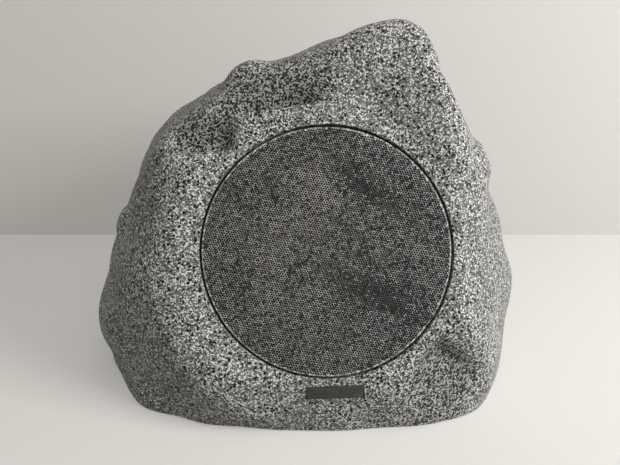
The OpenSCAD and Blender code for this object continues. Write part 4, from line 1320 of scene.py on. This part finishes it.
@dataclass(frozen=True)
class Lamp:
    """A square soft lamp that looks at a point."""

    name: str
    at: Point
    aim: Point
    size: float
    power: float
    tint: Colour = (1.0, 0.99, 0.97)

    def build(self) -> None:
        """Hangs the lamp."""
        data = bpy.data.lights.new(self.name, "AREA")
        data.shape = "SQUARE"
        data.size = self.size
        data.energy = self.power
        data.color = self.tint
        made = bpy.data.objects.new(self.name, data)
        made.location = self.at
        made.rotation_euler = (Vector(self.aim) - Vector(self.at)).to_track_quat("-Z", "Y").to_euler()
        bpy.context.scene.collection.objects.link(made)


@dataclass
class Studio:
    """A pale floor and wall, soft lamps and the camera."""

    camera_at: Point = (0.0047, -0.5058, 0.333)
    camera_down: float = 23.0
    lens: float = 27.0
    floor_tint: Colour = (0.78, 0.765, 0.735)
    wall_tint: Colour = (0.70, 0.68, 0.645)
    glow: float = 0.28
    bounce: float = 0.4
    mottle_mm: float = 260.0
    wall_y: float = 0.268
    reach: float = 3.0
    world: float = 0.26
    lamps: tuple[Lamp, ...] = (
        Lamp("window", (1.55, -0.72, 0.95), (0.0, 0.0, 0.15), 0.7, 24.0),
        Lamp("ceiling", (0.2, -0.3, 1.7), (0.0, 0.0, 0.1), 1.2, 4.5))

    def _sheet(self, name: str, corners: list[Point], tint: Colour) -> None:
        """Makes one flat sheet of the stage, faintly mottled and clear from behind."""
        made = mesh_object(name, np.array(corners), [[0, 1, 2, 3]])
        graph = Graph(name + "_paint")
        cloud = graph.noise(graph.place(), self.mottle_mm)
        path = graph.node("ShaderNodeLightPath", output="Is Camera Ray")
        seen = graph.step(path + path.also("Is Glossy Ray") + path.also("Is Transmission Ray"), 0.0, 1.0)
        lit = graph.blend(seen, (0.0, 0.0, 0.0), scaled(tint, self.glow))
        mottled = graph.blend(cloud, scaled(tint, 0.96), tint)
        colour = graph.blend(seen, scaled(tint, self.bounce), mottled)
        front = 1 - graph.node("ShaderNodeNewGeometry", output="Backfacing")
        made.data.materials.append(graph.finish(colour, 0.75, specular=0.2, glow=lit, alpha=front))

    def _world(self) -> None:
        """Fills the room with even light."""
        world = bpy.data.worlds.new("room")
        world.use_nodes = True
        back = world.node_tree.nodes["Background"]
        back.inputs["Color"].default_value = (1.0, 0.985, 0.96, 1.0)
        back.inputs["Strength"].default_value = self.world
        bpy.context.scene.world = world

    def _camera(self) -> None:
        """Sets the camera where the photograph was taken."""
        data = bpy.data.cameras.new("camera")
        data.lens = self.lens
        data.sensor_width = 36.0
        data.clip_start = 0.01
        made = bpy.data.objects.new("camera", data)
        made.location = self.camera_at
        made.rotation_euler = (math.radians(90 - self.camera_down), 0.0, 0.0)
        bpy.context.scene.collection.objects.link(made)
        bpy.context.scene.camera = made

    def build(self) -> None:
        """Sets the whole stage."""
        far, back = self.reach, self.wall_y
        self._sheet("floor", [(-far, -far, 0), (far, -far, 0), (far, back, 0), (-far, back, 0)],
                    self.floor_tint)
        self._sheet("wall", [(-far, back, 0), (far, back, 0), (far, back, far), (-far, back, far)],
                    self.wall_tint)
        for lamp in self.lamps:
            lamp.build()
        self._world()
        self._camera()
        bpy.context.scene.view_settings.view_transform = "Standard"


def main() -> None:
    """Builds the speaker and its stage in order."""
    logging.basicConfig(level=logging.INFO, format="%(name)s: %(message)s")
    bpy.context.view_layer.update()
    form = RockForm()
    shell = RockShell(form)
    shell.build()
    Grille(form.face_frame).build()
    Badge(shell.badge_frame).build()
    for group in (GrilleBacking(form.face_frame), Driver(form.face_frame), Crossover(), Base(),
                  Gland(shell.gland_frame)):
        group.build()
    Studio().build()


if __name__ == "__main__":
    main()
